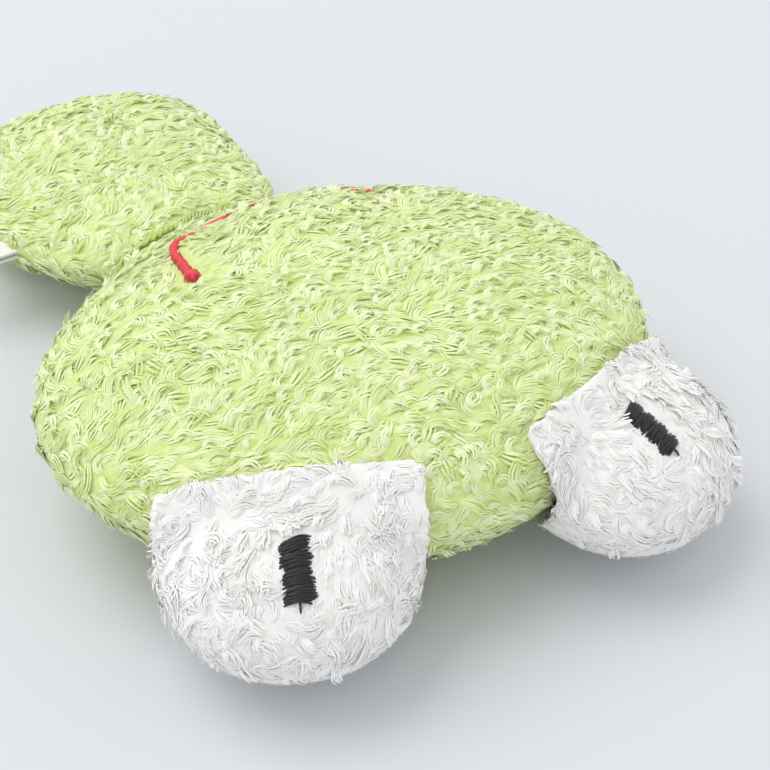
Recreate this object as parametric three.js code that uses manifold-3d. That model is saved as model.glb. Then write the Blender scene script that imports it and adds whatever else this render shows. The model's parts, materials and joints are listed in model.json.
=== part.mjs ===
// Frog rattle: a stuffed plush frog that lies on its back, with a capsule of loose beads in its head.
// Millimetres, +Z up. The origin is on the table under the middle of the head. The face looks up,
// the eyes point along -Y and the body lies along +Y, turned a little at the soft neck.
import * as THREE from 'three';
import { mergeVertices } from 'three/addons/utils/BufferGeometryUtils.js';
import Module from 'manifold-3d';

const wasm = await Module();
wasm.setup();

// Fits, shared by all pieces
const CLEARANCE = 0.3;
const SEAM_GAP = 0.3;
const PLUSH_THICKNESS = 2.2;
const REST_FLAT_DEPTH = 0.5;
const CUT_OVERRUN = 20;

// Head: a flat cushion, wider at the eyes than at the chin
const HEAD_HALF_WIDTH = 54.5;
const HEAD_EYE_END_LENGTH = 52.8;
const HEAD_CHIN_LENGTH = 39.7;
const HEAD_FACE_HEIGHT = 17.5;
const HEAD_BACK_HEIGHT = 20.3;
const HEAD_TAPER_SHARE = 0.08;
const HEAD_OUTLINE_POWER = 1.85;

// Eye pads: D-shaped pads whose straight side is sewn on the rim of the head
const EYE_HALF_WIDTH = 21.5;
const EYE_OUTER_LENGTH = 21.3;
const EYE_INNER_LENGTH = 14;
const EYE_HEIGHT = 12;
const EYE_SEAM_TO_MIDDLE = 5;
const EYE_MIDDLE_HEIGHT = 16;
const EYE_DROOP = THREE.MathUtils.degToRad(14);
const EYE_OUTER_POWER = 2.1;
const EYE_INNER_POWER = 3.4;
// The middle of each sewn line lies at shares of the head's half width and of its length to the eyes.
const LEFT_EYE_SHARES = [-0.477, -0.682];
const LEFT_EYE_SPLAY = THREE.MathUtils.degToRad(-21);
const RIGHT_EYE_SHARES = [0.514, -0.703];
const RIGHT_EYE_SPLAY = THREE.MathUtils.degToRad(22);

// Embroidery: satin stitch that stands a little above the cloth
const STITCH_HEIGHT = 0.9;
const PUPIL_LENGTH = 9.8;
const LEFT_PUPIL_WIDTH = 4.6;
const RIGHT_PUPIL_WIDTH = 4;
// Pupil places are shares of the pad's half width and of its outer length.
const LEFT_PUPIL_SHARES = [0.02, -0.385];
const RIGHT_PUPIL_SHARES = [-0.09, -0.245];
const MOUTH_THREAD_WIDTH = 2;
const MOUTH_HALF_WIDTH = 21.6;
const MOUTH_DEPTH = 15.5;
const MOUTH_LOW_X = -4.2;
const MOUTH_LOW_Y = 29;
const MOUTH_TURN = THREE.MathUtils.degToRad(15);
// One half of the mouth, from its end to its middle, as shares of the half width and the depth.
const MOUTH_CORNER_SHARES = [
  [1, 0], [0.92, 0.33], [0.82, 0.68], [0.7, 0.87], [0.5, 0.95], [0.25, 0.99], [0, 1],
];

// Neck: drawn in by a gathering thread
const NECK_X = -8;
const NECK_Y = 41;
const NECK_Z = 17;
const NECK_HALF_LENGTH = 6;
const NECK_HALF_WIDTH = 20;
const NECK_HALF_HEIGHT = 8;
const NECK_PINCH_SHARE = 0.12;
const NECK_HEAD_END_SHARE = 0.9;
const NECK_THREAD_RADIUS = 0.6;

// Body: swells from the neck to a broad round end
const BODY_LENGTH = 64.5;
const BODY_WIDEST_AT = 44;
const BODY_HALF_WIDTH = 30;
const BODY_FRONT_HEIGHT = 9.2;
const BODY_BACK_HEIGHT = 13.4;
const BODY_TURN = THREE.MathUtils.degToRad(8);
const BODY_SHOULDER_POWER = 0.92;
const BODY_END_POWER = 2.1;

// Side label: a blank tape, folded in two and caught in the side seam
const LABEL_WIDTH = 9;
const LABEL_REACH = 6;
const LABEL_TAPE_THICKNESS = 0.5;
const LABEL_FOLD_GAP = 0.6;
const LABEL_ALONG_BODY = 27;

// Closing thread: ladder stitches over the seam that was left open for stuffing
const CLOSING_START = 24;
const CLOSING_LENGTH = 22;
const CLOSING_STITCH = 2.2;
const CLOSING_HALF_SPAN = 1.2;
const CLOSING_THREAD_RADIUS = 0.35;

// Rattle: a two-part plastic capsule with loose beads, each on its own lane across it
const CAPSULE_RADIUS = 15;
const CAPSULE_HALF_HEIGHT = 11;
const CAPSULE_CORNER_RADIUS = 5;
const CAPSULE_WALL = 1.4;
const CAPSULE_LIP_WALL = 1;
const CAPSULE_LIP_RISE = 2.4;
const CAPSULE_Y = -4;
const BEAD_RADIUS = 2;
const BEAD_LANE_PITCH = 4.6;
const BEAD_START_SHARES = [0.3, -0.45, 0.3, 0.6, -0.5];

// Facets, and the distance within which their corners count as one
const MERGE_DISTANCE = 1e-4;
const HEAD_TURNS = 48;
const HEAD_RINGS = 9;
const INNER_RINGS = 5;
const EYE_TURNS = 32;
const EYE_RINGS = 6;
const EYE_INNER_RINGS = 3;
const BODY_STATIONS = 18;
const BODY_ARC_STEPS = 14;
const NECK_TURNS = 28;
const NECK_RINGS = 4;
const NECK_THREAD_SIDES = 6;
const MOUTH_STEPS = 28;
const LABEL_FOLD_STEPS = 8;
const CLOSING_THREAD_ARC_STEPS = 3;
const CLOSING_STEPS_PER_STITCH = 4;
const CAPSULE_TURNS = 28;
const CORNER_STEPS = 5;
const BEAD_DETAIL = 2;

const EYES = [
  {
    side: 'left',
    seamX: LEFT_EYE_SHARES[0] * HEAD_HALF_WIDTH,
    seamY: LEFT_EYE_SHARES[1] * HEAD_EYE_END_LENGTH,
    splay: LEFT_EYE_SPLAY,
    pupilWidth: LEFT_PUPIL_WIDTH,
    pupilShares: LEFT_PUPIL_SHARES,
  },
  {
    side: 'right',
    seamX: RIGHT_EYE_SHARES[0] * HEAD_HALF_WIDTH,
    seamY: RIGHT_EYE_SHARES[1] * HEAD_EYE_END_LENGTH,
    splay: RIGHT_EYE_SPLAY,
    pupilWidth: RIGHT_PUPIL_WIDTH,
    pupilShares: RIGHT_PUPIL_SHARES,
  },
];

const CLOTH = { roughness: 0.95, metalness: 0 };
const greenPlush = new THREE.MeshStandardMaterial({ color: 0xdcebab, ...CLOTH });
const whitePlush = new THREE.MeshStandardMaterial({ color: 0xf2f1ee, ...CLOTH });
const filling = new THREE.MeshStandardMaterial({ color: 0xf7f7f5, ...CLOTH });
const blackThread = new THREE.MeshStandardMaterial({ color: 0x15161c, roughness: 0.6, metalness: 0 });
const redThread = new THREE.MeshStandardMaterial({ color: 0xf04a5a, roughness: 0.6, metalness: 0 });
const greenThread = new THREE.MeshStandardMaterial({ color: 0xcfe08f, roughness: 0.7, metalness: 0 });
const whiteTape = new THREE.MeshStandardMaterial({ color: 0xf4f4f2, roughness: 0.7, metalness: 0 });
const capsulePlastic = new THREE.MeshStandardMaterial({ color: 0xe9e9e4, roughness: 0.4, metalness: 0 });
const beadPlastic = new THREE.MeshStandardMaterial({ color: 0xd8b65c, roughness: 0.4, metalness: 0 });

// Solids

// Closed surface through loops of equal count. An end loop that isn't a point gets a flat cap.
function loftLoops(loops, { closed = false, pairedCap = false } = {}) {
  const count = loops[0].length;
  const positions = loops.flat().flatMap((p) => [p.x, p.y, p.z]);
  const faces = [];
  const quad = (a, b, c, d) => faces.push(a, b, c, a, c, d);
  const spans = closed ? loops.length : loops.length - 1;
  for (let row = 0; row < spans; row++) {
    const next = (row + 1) % loops.length;
    for (let i = 0; i < count; i++) {
      const j = (i + 1) % count;
      quad(row * count + i, row * count + j, next * count + j, next * count + i);
    }
  }
  if (!closed) {
    for (const [row, flip] of [[0, true], [loops.length - 1, false]]) {
      const cap = pairedCap ? pairedFaces(row * count, count) : fanFaces(row * count, count);
      for (const [a, b, c] of cap) faces.push(...(flip ? [a, c, b] : [a, b, c]));
    }
  }
  const geometry = new THREE.BufferGeometry();
  geometry.setAttribute('position', new THREE.Float32BufferAttribute(positions, 3));
  geometry.setIndex(faces);
  return solidOf(geometry);
}

function fanFaces(start, count) {
  const faces = [];
  for (let i = 1; i < count - 1; i++) faces.push([start, start + i, start + i + 1]);
  return faces;
}

// Cap of a loop that runs out along one arc and back along another of equal count.
function pairedFaces(start, count) {
  const faces = [];
  for (let i = 0; i < count / 2 - 1; i++) {
    const far = count - 1 - i;
    faces.push([start + i, start + i + 1, start + far - 1], [start + i, start + far - 1, start + far]);
  }
  return faces;
}

// Manifold solid of a closed geometry, with its vertices merged and its faces turned outwards.
function solidOf(geometry) {
  const bare = geometry.clone();
  bare.deleteAttribute('normal');
  bare.deleteAttribute('uv');
  const merged = mergeVertices(bare, MERGE_DISTANCE);
  const source = merged.index.array;
  const at = merged.attributes.position;
  const corners = [];
  let volume = 0;
  for (let i = 0; i < source.length; i += 3) {
    const [a, b, c] = [source[i], source[i + 1], source[i + 2]];
    if (a === b || b === c || c === a) continue;
    corners.push([a, b, c]);
    const [p, q, r] = [a, b, c].map((k) => new THREE.Vector3().fromBufferAttribute(at, k));
    volume += p.dot(q.cross(r));
  }
  const triVerts = Uint32Array.from(corners.flatMap(([a, b, c]) => (volume < 0 ? [a, c, b] : [a, b, c])));
  const vertProperties = Float32Array.from(at.array);
  return new wasm.Manifold(new wasm.Mesh({ numProp: 3, vertProperties, triVerts }));
}

function geometryOf(solid) {
  const mesh = solid.getMesh();
  const geometry = new THREE.BufferGeometry();
  geometry.setAttribute('position', new THREE.BufferAttribute(mesh.vertProperties.slice(), 3));
  geometry.setIndex(new THREE.BufferAttribute(mesh.triVerts.slice(), 1));
  geometry.computeVertexNormals();
  return geometry;
}

function largestBody(solid) {
  return solid.decompose().reduce((best, body) => (body.volume() > best.volume() ? body : best));
}

function addPiece(group, name, solid, material) {
  const mesh = new THREE.Mesh(geometryOf(largestBody(solid)), material);
  mesh.name = name;
  group.add(mesh);
}

function moved(solid, matrix) {
  return solid.transform(matrix.elements);
}

// Solid given in the part's frame, as seen from inside a placed group.
function seenFrom(group, solid) {
  group.updateMatrixWorld(true);
  return moved(solid, group.matrixWorld.clone().invert());
}

function boxSolid(low, high) {
  const size = new THREE.Vector3().subVectors(high, low);
  const middle = new THREE.Vector3().addVectors(low, high).multiplyScalar(1 / 2);
  return solidOf(new THREE.BoxGeometry(size.x, size.y, size.z).translate(middle.x, middle.y, middle.z));
}

// Cushions: an outline with a rounded crown over one side of the seam

function cushionLoop(form, side, rise, inset) {
  const angle = rise * Math.PI / 2;
  const z = side * (SEAM_GAP / 2 + (form.height(side) - inset) * Math.sin(angle));
  const loop = [];
  for (let i = 0; i < form.turns; i++) {
    const [x, y] = form.outline(i / form.turns * 2 * Math.PI, inset);
    loop.push(new THREE.Vector3(x * Math.cos(angle), y * Math.cos(angle), z));
  }
  return loop;
}

function cushionLoops(form, side, inset, rings) {
  return Array.from({ length: rings + 1 }, (_, i) => cushionLoop(form, side, i / rings, inset));
}

function cushionPanel(form, side) {
  const skin = cushionLoops(form, side, 0, form.rings);
  const lining = cushionLoops(form, side, PLUSH_THICKNESS, form.innerRings).reverse();
  return loftLoops([...lining, ...skin]);
}

function cushionSolid(form, side, inset, rings = form.innerRings) {
  return loftLoops(cushionLoops(form, side, inset, rings));
}

function superRadius(angle, power) {
  return (Math.abs(Math.cos(angle)) ** power + Math.abs(Math.sin(angle)) ** power) ** (-1 / power);
}

const headForm = {
  turns: HEAD_TURNS,
  rings: HEAD_RINGS,
  innerRings: INNER_RINGS,
  height: (side) => (side > 0 ? HEAD_FACE_HEIGHT : HEAD_BACK_HEIGHT),
  outline(angle, inset) {
    const radius = superRadius(angle, HEAD_OUTLINE_POWER);
    const chinward = Math.sin(angle) > 0;
    const y = ((chinward ? HEAD_CHIN_LENGTH : HEAD_EYE_END_LENGTH) - inset) * radius * Math.sin(angle);
    const taper = 1 - HEAD_TAPER_SHARE * y / HEAD_CHIN_LENGTH;
    return [(HEAD_HALF_WIDTH - inset) * radius * Math.cos(angle) * taper, y];
  },
};

const eyeForm = {
  turns: EYE_TURNS,
  rings: EYE_RINGS,
  innerRings: EYE_INNER_RINGS,
  height: () => EYE_HEIGHT,
  outline(angle, inset) {
    const inward = Math.sin(angle) > 0;
    const radius = superRadius(angle, inward ? EYE_INNER_POWER : EYE_OUTER_POWER);
    const length = inward ? EYE_INNER_LENGTH : EYE_OUTER_LENGTH - inset;
    return [(EYE_HALF_WIDTH - inset) * radius * Math.cos(angle), length * radius * Math.sin(angle)];
  },
};

// Places that several pieces share

const HEAD_SEAM_Z = HEAD_BACK_HEIGHT + SEAM_GAP / 2 - REST_FLAT_DEPTH;
const part = new THREE.Group();

function placedGroup(x, y, z, turn = 0) {
  const group = new THREE.Group();
  group.position.set(x, y, z);
  group.rotation.z = turn;
  part.add(group);
  return group;
}

const neckGroup = placedGroup(NECK_X, NECK_Y, 0, BODY_TURN);
neckGroup.updateMatrixWorld(true);

const belowTable = boxSolid(
  new THREE.Vector3(-HEAD_HALF_WIDTH - CUT_OVERRUN, -HEAD_EYE_END_LENGTH - CUT_OVERRUN, -CUT_OVERRUN),
  new THREE.Vector3(HEAD_HALF_WIDTH + CUT_OVERRUN, NECK_Y + BODY_LENGTH + CUT_OVERRUN, 0),
);
const pastChin = moved(boxSolid(
  new THREE.Vector3(-HEAD_HALF_WIDTH - CUT_OVERRUN, -NECK_HALF_LENGTH, -CUT_OVERRUN),
  new THREE.Vector3(HEAD_HALF_WIDTH + CUT_OVERRUN, CUT_OVERRUN, HEAD_SEAM_Z + HEAD_FACE_HEIGHT + CUT_OVERRUN),
), neckGroup.matrixWorld);

// Share of the head's crown that is left over a point of its outline plan.
function headCrownShare(x, y) {
  const taper = 1 - HEAD_TAPER_SHARE * y / HEAD_CHIN_LENGTH;
  const across = (Math.abs(x) / (HEAD_HALF_WIDTH * taper)) ** HEAD_OUTLINE_POWER;
  const length = y > 0 ? HEAD_CHIN_LENGTH : HEAD_EYE_END_LENGTH;
  const out = (across + (Math.abs(y) / length) ** HEAD_OUTLINE_POWER) ** (1 / HEAD_OUTLINE_POWER);
  return Math.sqrt(1 - out ** 2);
}

function headTopZ(x, y) {
  return HEAD_SEAM_Z + SEAM_GAP / 2 + HEAD_FACE_HEIGHT * headCrownShare(x, y);
}

// Whole head as one solid in the part's frame, larger by a margin, which cuts what lies against it.
function headSolid(margin) {
  const halves = [1, -1].map((side) => cushionSolid(headForm, side, -margin, HEAD_RINGS));
  const bridge = loftLoops([-1, 1].map((side) => cushionLoop(headForm, side, 0, -margin)));
  return halves[0].add(halves[1]).add(bridge).translate([0, 0, HEAD_SEAM_Z]);
}

function buildHead() {
  const group = placedGroup(0, 0, HEAD_SEAM_Z);
  const chinCut = seenFrom(group, pastChin);
  const tableCut = seenFrom(group, belowTable);
  const pocket = capsuleForm(CAPSULE_RADIUS + CLEARANCE, CAPSULE_HALF_HEIGHT + CLEARANCE);
  const inset = PLUSH_THICKNESS + CLEARANCE;
  for (const [name, side] of [['front', 1], ['back', -1]]) {
    const panel = cushionPanel(headForm, side).subtract(chinCut).subtract(tableCut);
    addPiece(group, `head_${name}_panel`, panel, greenPlush);
    const wad = cushionSolid(headForm, side, inset).subtract(chinCut).subtract(pocket);
    addPiece(group, `head_${name}_filling`, wad, filling);
  }
  addPiece(group, 'mouth_embroidery', mouthSolid(group), redThread);
}

// Upright prism through a closed outline, from the seam plane to above the crown.
function prism(points, top) {
  const shape = new THREE.Shape(points.map(([x, y]) => new THREE.Vector2(x, y)));
  return solidOf(new THREE.ExtrudeGeometry(shape, { depth: top, bevelEnabled: false }));
}

// Thin layer on top of a cushion, from the clearance up to the height of a stitch.
function stitchLayer(form, rings) {
  const outer = cushionSolid(form, 1, -CLEARANCE - STITCH_HEIGHT, rings);
  return outer.subtract(cushionSolid(form, 1, -CLEARANCE, rings));
}

function mouthSolid(group) {
  const places = MOUTH_CORNER_SHARES.map(([x, y]) => [x * MOUTH_HALF_WIDTH, (y - 1) * MOUTH_DEPTH]);
  const left = places.map(([x, y]) => new THREE.Vector3(-x, y, 0));
  const right = places.map(([x, y]) => new THREE.Vector3(x, y, 0)).reverse().slice(1);
  const line = new THREE.CatmullRomCurve3([...left, ...right]);
  const edges = [[], []];
  for (let i = 0; i <= MOUTH_STEPS; i++) {
    const at = line.getPointAt(i / MOUTH_STEPS);
    const along = line.getTangentAt(i / MOUTH_STEPS);
    for (const [edge, sign] of [[0, 1], [1, -1]]) {
      const shift = sign * MOUTH_THREAD_WIDTH / 2;
      edges[edge].push([at.x - along.y * shift, at.y + along.x * shift]);
    }
  }
  const turn = new THREE.Matrix4().makeRotationZ(MOUTH_TURN).setPosition(MOUTH_LOW_X, MOUTH_LOW_Y, 0);
  const outline = [...edges[0], ...edges[1].reverse()];
  const stroke = moved(prism(outline, HEAD_FACE_HEIGHT + CUT_OVERRUN), turn);
  return stroke.intersect(stitchLayer(headForm, HEAD_RINGS)).subtract(seenFrom(group, pastChin));
}

// Eyes

function eyeGroup({ seamX, seamY, splay }) {
  const group = placedGroup(
    seamX + Math.sin(splay) * EYE_SEAM_TO_MIDDLE,
    seamY - Math.cos(splay) * EYE_SEAM_TO_MIDDLE,
    EYE_MIDDLE_HEIGHT,
  );
  group.rotation.set(EYE_DROOP, 0, splay, 'ZXY');
  return group;
}

// Middle of the sewn line, about which the pad swings, in the pad's frame.
function eyeHinge(group, { seamX, seamY }) {
  return group.worldToLocal(new THREE.Vector3(seamX, seamY, headTopZ(seamX, seamY)));
}

// Room in the pad's frame that isn't the pad's: the head, and all beyond the sewn line.
function eyeRoom(group, hinge) {
  const reach = HEAD_HALF_WIDTH + CUT_OVERRUN;
  const beyond = boxSolid(
    new THREE.Vector3(-reach, hinge.y - CLEARANCE, -reach),
    new THREE.Vector3(reach, reach, reach),
  );
  return seenFrom(group, headSolid(CLEARANCE)).add(beyond);
}

// Flap of the pad's front cloth that lies on the face, from the sewn line to the rim of the head.
function eyeFlap(group, hinge) {
  const turns = Array.from({ length: EYE_TURNS }, (_, i) => i / EYE_TURNS * 2 * Math.PI);
  const outline = turns.map((angle) => eyeForm.outline(angle, CLEARANCE));
  const column = prism(outline, hinge.z + CUT_OVERRUN).translate([0, 0, PLUSH_THICKNESS / 2]);
  const layer = headSolid(CLEARANCE + PLUSH_THICKNESS).subtract(headSolid(CLEARANCE));
  const inside = cushionSolid(eyeForm, 1, PLUSH_THICKNESS / 2, EYE_RINGS);
  return column.intersect(seenFrom(group, layer)).subtract(inside);
}

function pupilSolid({ pupilWidth, pupilShares }) {
  const [x, y] = [pupilShares[0] * EYE_HALF_WIDTH, pupilShares[1] * EYE_OUTER_LENGTH];
  const [left, right] = [x - pupilWidth / 2, x + pupilWidth / 2];
  const [near, far] = [y + PUPIL_LENGTH / 2, y - PUPIL_LENGTH / 2];
  const bar = prism([[left, far], [right, far], [right, near], [left, near]], EYE_HEIGHT + CUT_OVERRUN);
  return bar.intersect(stitchLayer(eyeForm, EYE_RINGS));
}

function buildEye(eye) {
  const group = eyeGroup(eye);
  const hinge = eyeHinge(group, eye);
  const room = eyeRoom(group, hinge);
  const inset = PLUSH_THICKNESS + CLEARANCE;
  const front = cushionPanel(eyeForm, 1).add(eyeFlap(group, hinge)).subtract(room);
  addPiece(group, `eye_${eye.side}_front_panel`, front, whitePlush);
  addPiece(group, `eye_${eye.side}_back_panel`, cushionPanel(eyeForm, -1).subtract(room), whitePlush);
  const wad = [1, -1].map((side) => cushionSolid(eyeForm, side, inset));
  const bridge = loftLoops([-1, 1].map((side) => cushionLoop(eyeForm, side, 0, inset)));
  addPiece(group, `eye_${eye.side}_filling`, wad[0].add(wad[1]).add(bridge).subtract(room), filling);
  addPiece(group, `pupil_${eye.side}`, pupilSolid(eye), blackThread);
}

// Rattle capsule and beads

function capsuleProfile(radius, halfHeight, corner) {
  const points = [new THREE.Vector2(0, halfHeight)];
  for (let i = 0; i <= CORNER_STEPS; i++) {
    const angle = Math.PI / 2 * (1 - i / CORNER_STEPS);
    const r = radius - corner + corner * Math.cos(angle);
    points.push(new THREE.Vector2(r, halfHeight - corner + corner * Math.sin(angle)));
  }
  return points;
}

function latheSolid(points) {
  return solidOf(new THREE.LatheGeometry(points, CAPSULE_TURNS).rotateX(Math.PI / 2));
}

function capsuleForm(radius, halfHeight) {
  const corner = CAPSULE_CORNER_RADIUS + radius - CAPSULE_RADIUS;
  const top = capsuleProfile(radius, halfHeight, corner);
  const bottom = top.map((p) => new THREE.Vector2(p.x, -p.y)).reverse();
  return latheSolid([...top, ...bottom]).translate([0, CAPSULE_Y, 0]);
}

function buildCapsule() {
  const group = placedGroup(0, CAPSULE_Y, HEAD_SEAM_Z);
  const outer = capsuleProfile(CAPSULE_RADIUS, CAPSULE_HALF_HEIGHT, CAPSULE_CORNER_RADIUS);
  const innerRadius = CAPSULE_RADIUS - CAPSULE_WALL;
  const innerCorner = CAPSULE_CORNER_RADIUS - CAPSULE_WALL;
  const inner = capsuleProfile(innerRadius, CAPSULE_HALF_HEIGHT - CAPSULE_WALL, innerCorner).reverse();
  const split = SEAM_GAP / 2;
  const rim = [new THREE.Vector2(CAPSULE_RADIUS, split), new THREE.Vector2(innerRadius, split)];
  const lipOuter = innerRadius - CLEARANCE;
  const lipInner = lipOuter - CAPSULE_LIP_WALL;
  const lip = [
    new THREE.Vector2(CAPSULE_RADIUS, split),
    new THREE.Vector2(lipOuter, split),
    new THREE.Vector2(lipOuter, -CAPSULE_LIP_RISE),
    new THREE.Vector2(lipInner, -CAPSULE_LIP_RISE),
    new THREE.Vector2(lipInner, split),
    new THREE.Vector2(innerRadius, split + CAPSULE_LIP_RISE),
  ];
  const upper = latheSolid([...outer, ...rim, ...inner]);
  const lower = latheSolid([...outer, ...lip, ...inner]).mirror([0, 0, 1]);
  addPiece(group, 'rattle_capsule_upper', upper, capsulePlastic);
  addPiece(group, 'rattle_capsule_lower', lower, capsulePlastic);
  buildBeads(group, innerRadius - innerCorner);
}

// Each bead rolls on the flat floor of the capsule, from edge to edge along its own lane.
function buildBeads(group, floorRadius) {
  const floor = -CAPSULE_HALF_HEIGHT + CAPSULE_WALL;
  BEAD_START_SHARES.forEach((share, i) => {
    const lane = (i - (BEAD_START_SHARES.length - 1) / 2) * BEAD_LANE_PITCH;
    const travel = Math.sqrt(floorRadius ** 2 - lane ** 2);
    const ball = solidOf(new THREE.IcosahedronGeometry(BEAD_RADIUS, BEAD_DETAIL));
    const place = [share * travel, lane, floor + CLEARANCE + BEAD_RADIUS];
    addPiece(group, `rattle_bead_${i + 1}`, ball.translate(place), beadPlastic);
  });
}

// Body, lofted along its own axis, which is the group's +Y from the neck

function bodyStation(share, inset) {
  const end = BODY_LENGTH - inset;
  const along = NECK_HALF_LENGTH + (end - NECK_HALF_LENGTH) * Math.sin(share * Math.PI / 2);
  const swell = Math.sin(Math.min(1, along / BODY_WIDEST_AT) * Math.PI / 2) ** BODY_SHOULDER_POWER;
  const past = Math.max(0, (along - BODY_WIDEST_AT) / (end - BODY_WIDEST_AT));
  const round = (1 - Math.min(1, past) ** BODY_END_POWER) ** (1 / BODY_END_POWER);
  const swollen = (neck, body) => neck + (body - neck) * swell;
  const drawnIn = (size) => Math.max(0, size - inset) * round;
  return {
    along,
    halfWidth: drawnIn(swollen(NECK_HALF_WIDTH, BODY_HALF_WIDTH)),
    frontHeight: drawnIn(swollen(NECK_HALF_HEIGHT, BODY_FRONT_HEIGHT)),
    backHeight: drawnIn(swollen(NECK_HALF_HEIGHT, BODY_BACK_HEIGHT)),
    seamZ: swollen(NECK_Z, BODY_BACK_HEIGHT + SEAM_GAP / 2 - REST_FLAT_DEPTH),
  };
}

function bodyArc(share, inset, side) {
  const station = bodyStation(share, inset);
  return Array.from({ length: BODY_ARC_STEPS + 1 }, (_, i) => {
    const angle = i / BODY_ARC_STEPS * Math.PI;
    const height = side > 0 ? station.frontHeight : station.backHeight;
    const z = station.seamZ + side * (SEAM_GAP / 2 + height * Math.sin(angle));
    return new THREE.Vector3(station.halfWidth * Math.cos(angle), station.along, z);
  });
}

function bodyPanel(side) {
  const loops = Array.from({ length: BODY_STATIONS + 1 }, (_, i) => {
    const share = i / BODY_STATIONS;
    return [...bodyArc(share, 0, side), ...bodyArc(share, PLUSH_THICKNESS, side).reverse()];
  });
  return loftLoops(loops, { pairedCap: true });
}

function bodyFilling() {
  const inset = PLUSH_THICKNESS + CLEARANCE;
  const loops = Array.from({ length: BODY_STATIONS + 1 }, (_, i) => {
    const share = i / BODY_STATIONS;
    return [...bodyArc(share, inset, 1), ...bodyArc(share, inset, -1).reverse()];
  });
  return loftLoops(loops);
}

function buildBody() {
  const group = neckGroup;
  const tableCut = seenFrom(group, belowTable);
  addPiece(group, 'body_front_panel', bodyPanel(1), greenPlush);
  addPiece(group, 'body_back_panel', bodyPanel(-1).subtract(tableCut), greenPlush);
  addPiece(group, 'body_filling', bodyFilling(), filling);
  buildLabel(group);
  buildClosingThread(group);
}

// Share of the body's stations at a distance from the neck.
function stationShare(along) {
  return Math.asin((along - NECK_HALF_LENGTH) / (BODY_LENGTH - NECK_HALF_LENGTH)) * 2 / Math.PI;
}

function buildLabel(group) {
  const station = bodyStation(stationShare(LABEL_ALONG_BODY), 0);
  const farEdge = bodyStation(stationShare(LABEL_ALONG_BODY + LABEL_WIDTH / 2), 0);
  const root = -farEdge.halfWidth - CLEARANCE;
  const fold = LABEL_FOLD_GAP / 2 + LABEL_TAPE_THICKNESS;
  const shape = new THREE.Shape();
  shape.moveTo(0, fold);
  shape.lineTo(0, LABEL_FOLD_GAP / 2);
  shape.lineTo(LABEL_REACH - fold, LABEL_FOLD_GAP / 2);
  shape.absarc(LABEL_REACH - fold, 0, LABEL_FOLD_GAP / 2, Math.PI / 2, -Math.PI / 2, true);
  shape.lineTo(0, -LABEL_FOLD_GAP / 2);
  shape.lineTo(0, -fold);
  shape.lineTo(LABEL_REACH - fold, -fold);
  shape.absarc(LABEL_REACH - fold, 0, fold, -Math.PI / 2, Math.PI / 2, false);
  const options = { depth: LABEL_WIDTH, bevelEnabled: false, curveSegments: LABEL_FOLD_STEPS };
  const tape = new THREE.ExtrudeGeometry(shape, options);
  tape.rotateX(Math.PI / 2).rotateZ(Math.PI);
  tape.translate(root, station.along - LABEL_WIDTH / 2, station.seamZ);
  addPiece(group, 'side_label', solidOf(tape), whiteTape);
}

function buildClosingThread(group) {
  const stitches = Math.round(CLOSING_LENGTH / CLOSING_STITCH);
  const points = [];
  for (let i = 0; i <= stitches; i++) {
    const along = CLOSING_START + CLOSING_LENGTH * i / stitches;
    const station = bodyStation(stationShare(along), 0);
    const x = station.halfWidth + CLEARANCE + CLOSING_THREAD_RADIUS;
    const z = station.seamZ + (i % 2 ? 1 : -1) * CLOSING_HALF_SPAN;
    points.push(new THREE.Vector3(x, station.along, z));
  }
  const circle = new THREE.Shape().absarc(0, 0, CLOSING_THREAD_RADIUS, 0, 2 * Math.PI, false);
  const path = new THREE.CatmullRomCurve3(points, false, 'centripetal');
  const options = {
    extrudePath: path,
    steps: CLOSING_STEPS_PER_STITCH * stitches,
    curveSegments: CLOSING_THREAD_ARC_STEPS,
    bevelEnabled: false,
  };
  addPiece(group, 'closing_thread', solidOf(new THREE.ExtrudeGeometry(circle, options)), greenThread);
}

// Neck: a short gathered sleeve from the chin to the shoulders

// Sections of the neck at the chin and at the shoulders, in the neck's own frame.
function neckEnds() {
  const chin = neckGroup.localToWorld(new THREE.Vector3(0, -NECK_HALF_LENGTH, 0));
  const crown = headCrownShare(chin.x, chin.y);
  const shoulder = bodyStation(0, 0);
  return [
    {
      along: -NECK_HALF_LENGTH + CLEARANCE,
      z: HEAD_SEAM_Z + (HEAD_FACE_HEIGHT - HEAD_BACK_HEIGHT) / 2 * crown,
      halfWidth: NECK_HALF_WIDTH * NECK_HEAD_END_SHARE,
      halfHeight: (HEAD_FACE_HEIGHT + HEAD_BACK_HEIGHT) / 2 * crown * NECK_HEAD_END_SHARE,
    },
    {
      along: NECK_HALF_LENGTH - CLEARANCE,
      z: shoulder.seamZ,
      halfWidth: shoulder.halfWidth,
      halfHeight: shoulder.frontHeight,
    },
  ];
}

function neckLoop(share, outset) {
  const [chin, shoulder] = neckEnds();
  const mix = (key) => chin[key] + (shoulder[key] - chin[key]) * share;
  const pinch = 1 - NECK_PINCH_SHARE * Math.sin(share * Math.PI);
  return Array.from({ length: NECK_TURNS }, (_, i) => {
    const angle = i / NECK_TURNS * 2 * Math.PI;
    const x = (mix('halfWidth') * pinch + outset) * Math.cos(angle);
    const z = mix('z') + (mix('halfHeight') * pinch + outset) * Math.sin(angle);
    return new THREE.Vector3(x, mix('along'), z);
  });
}

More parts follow.
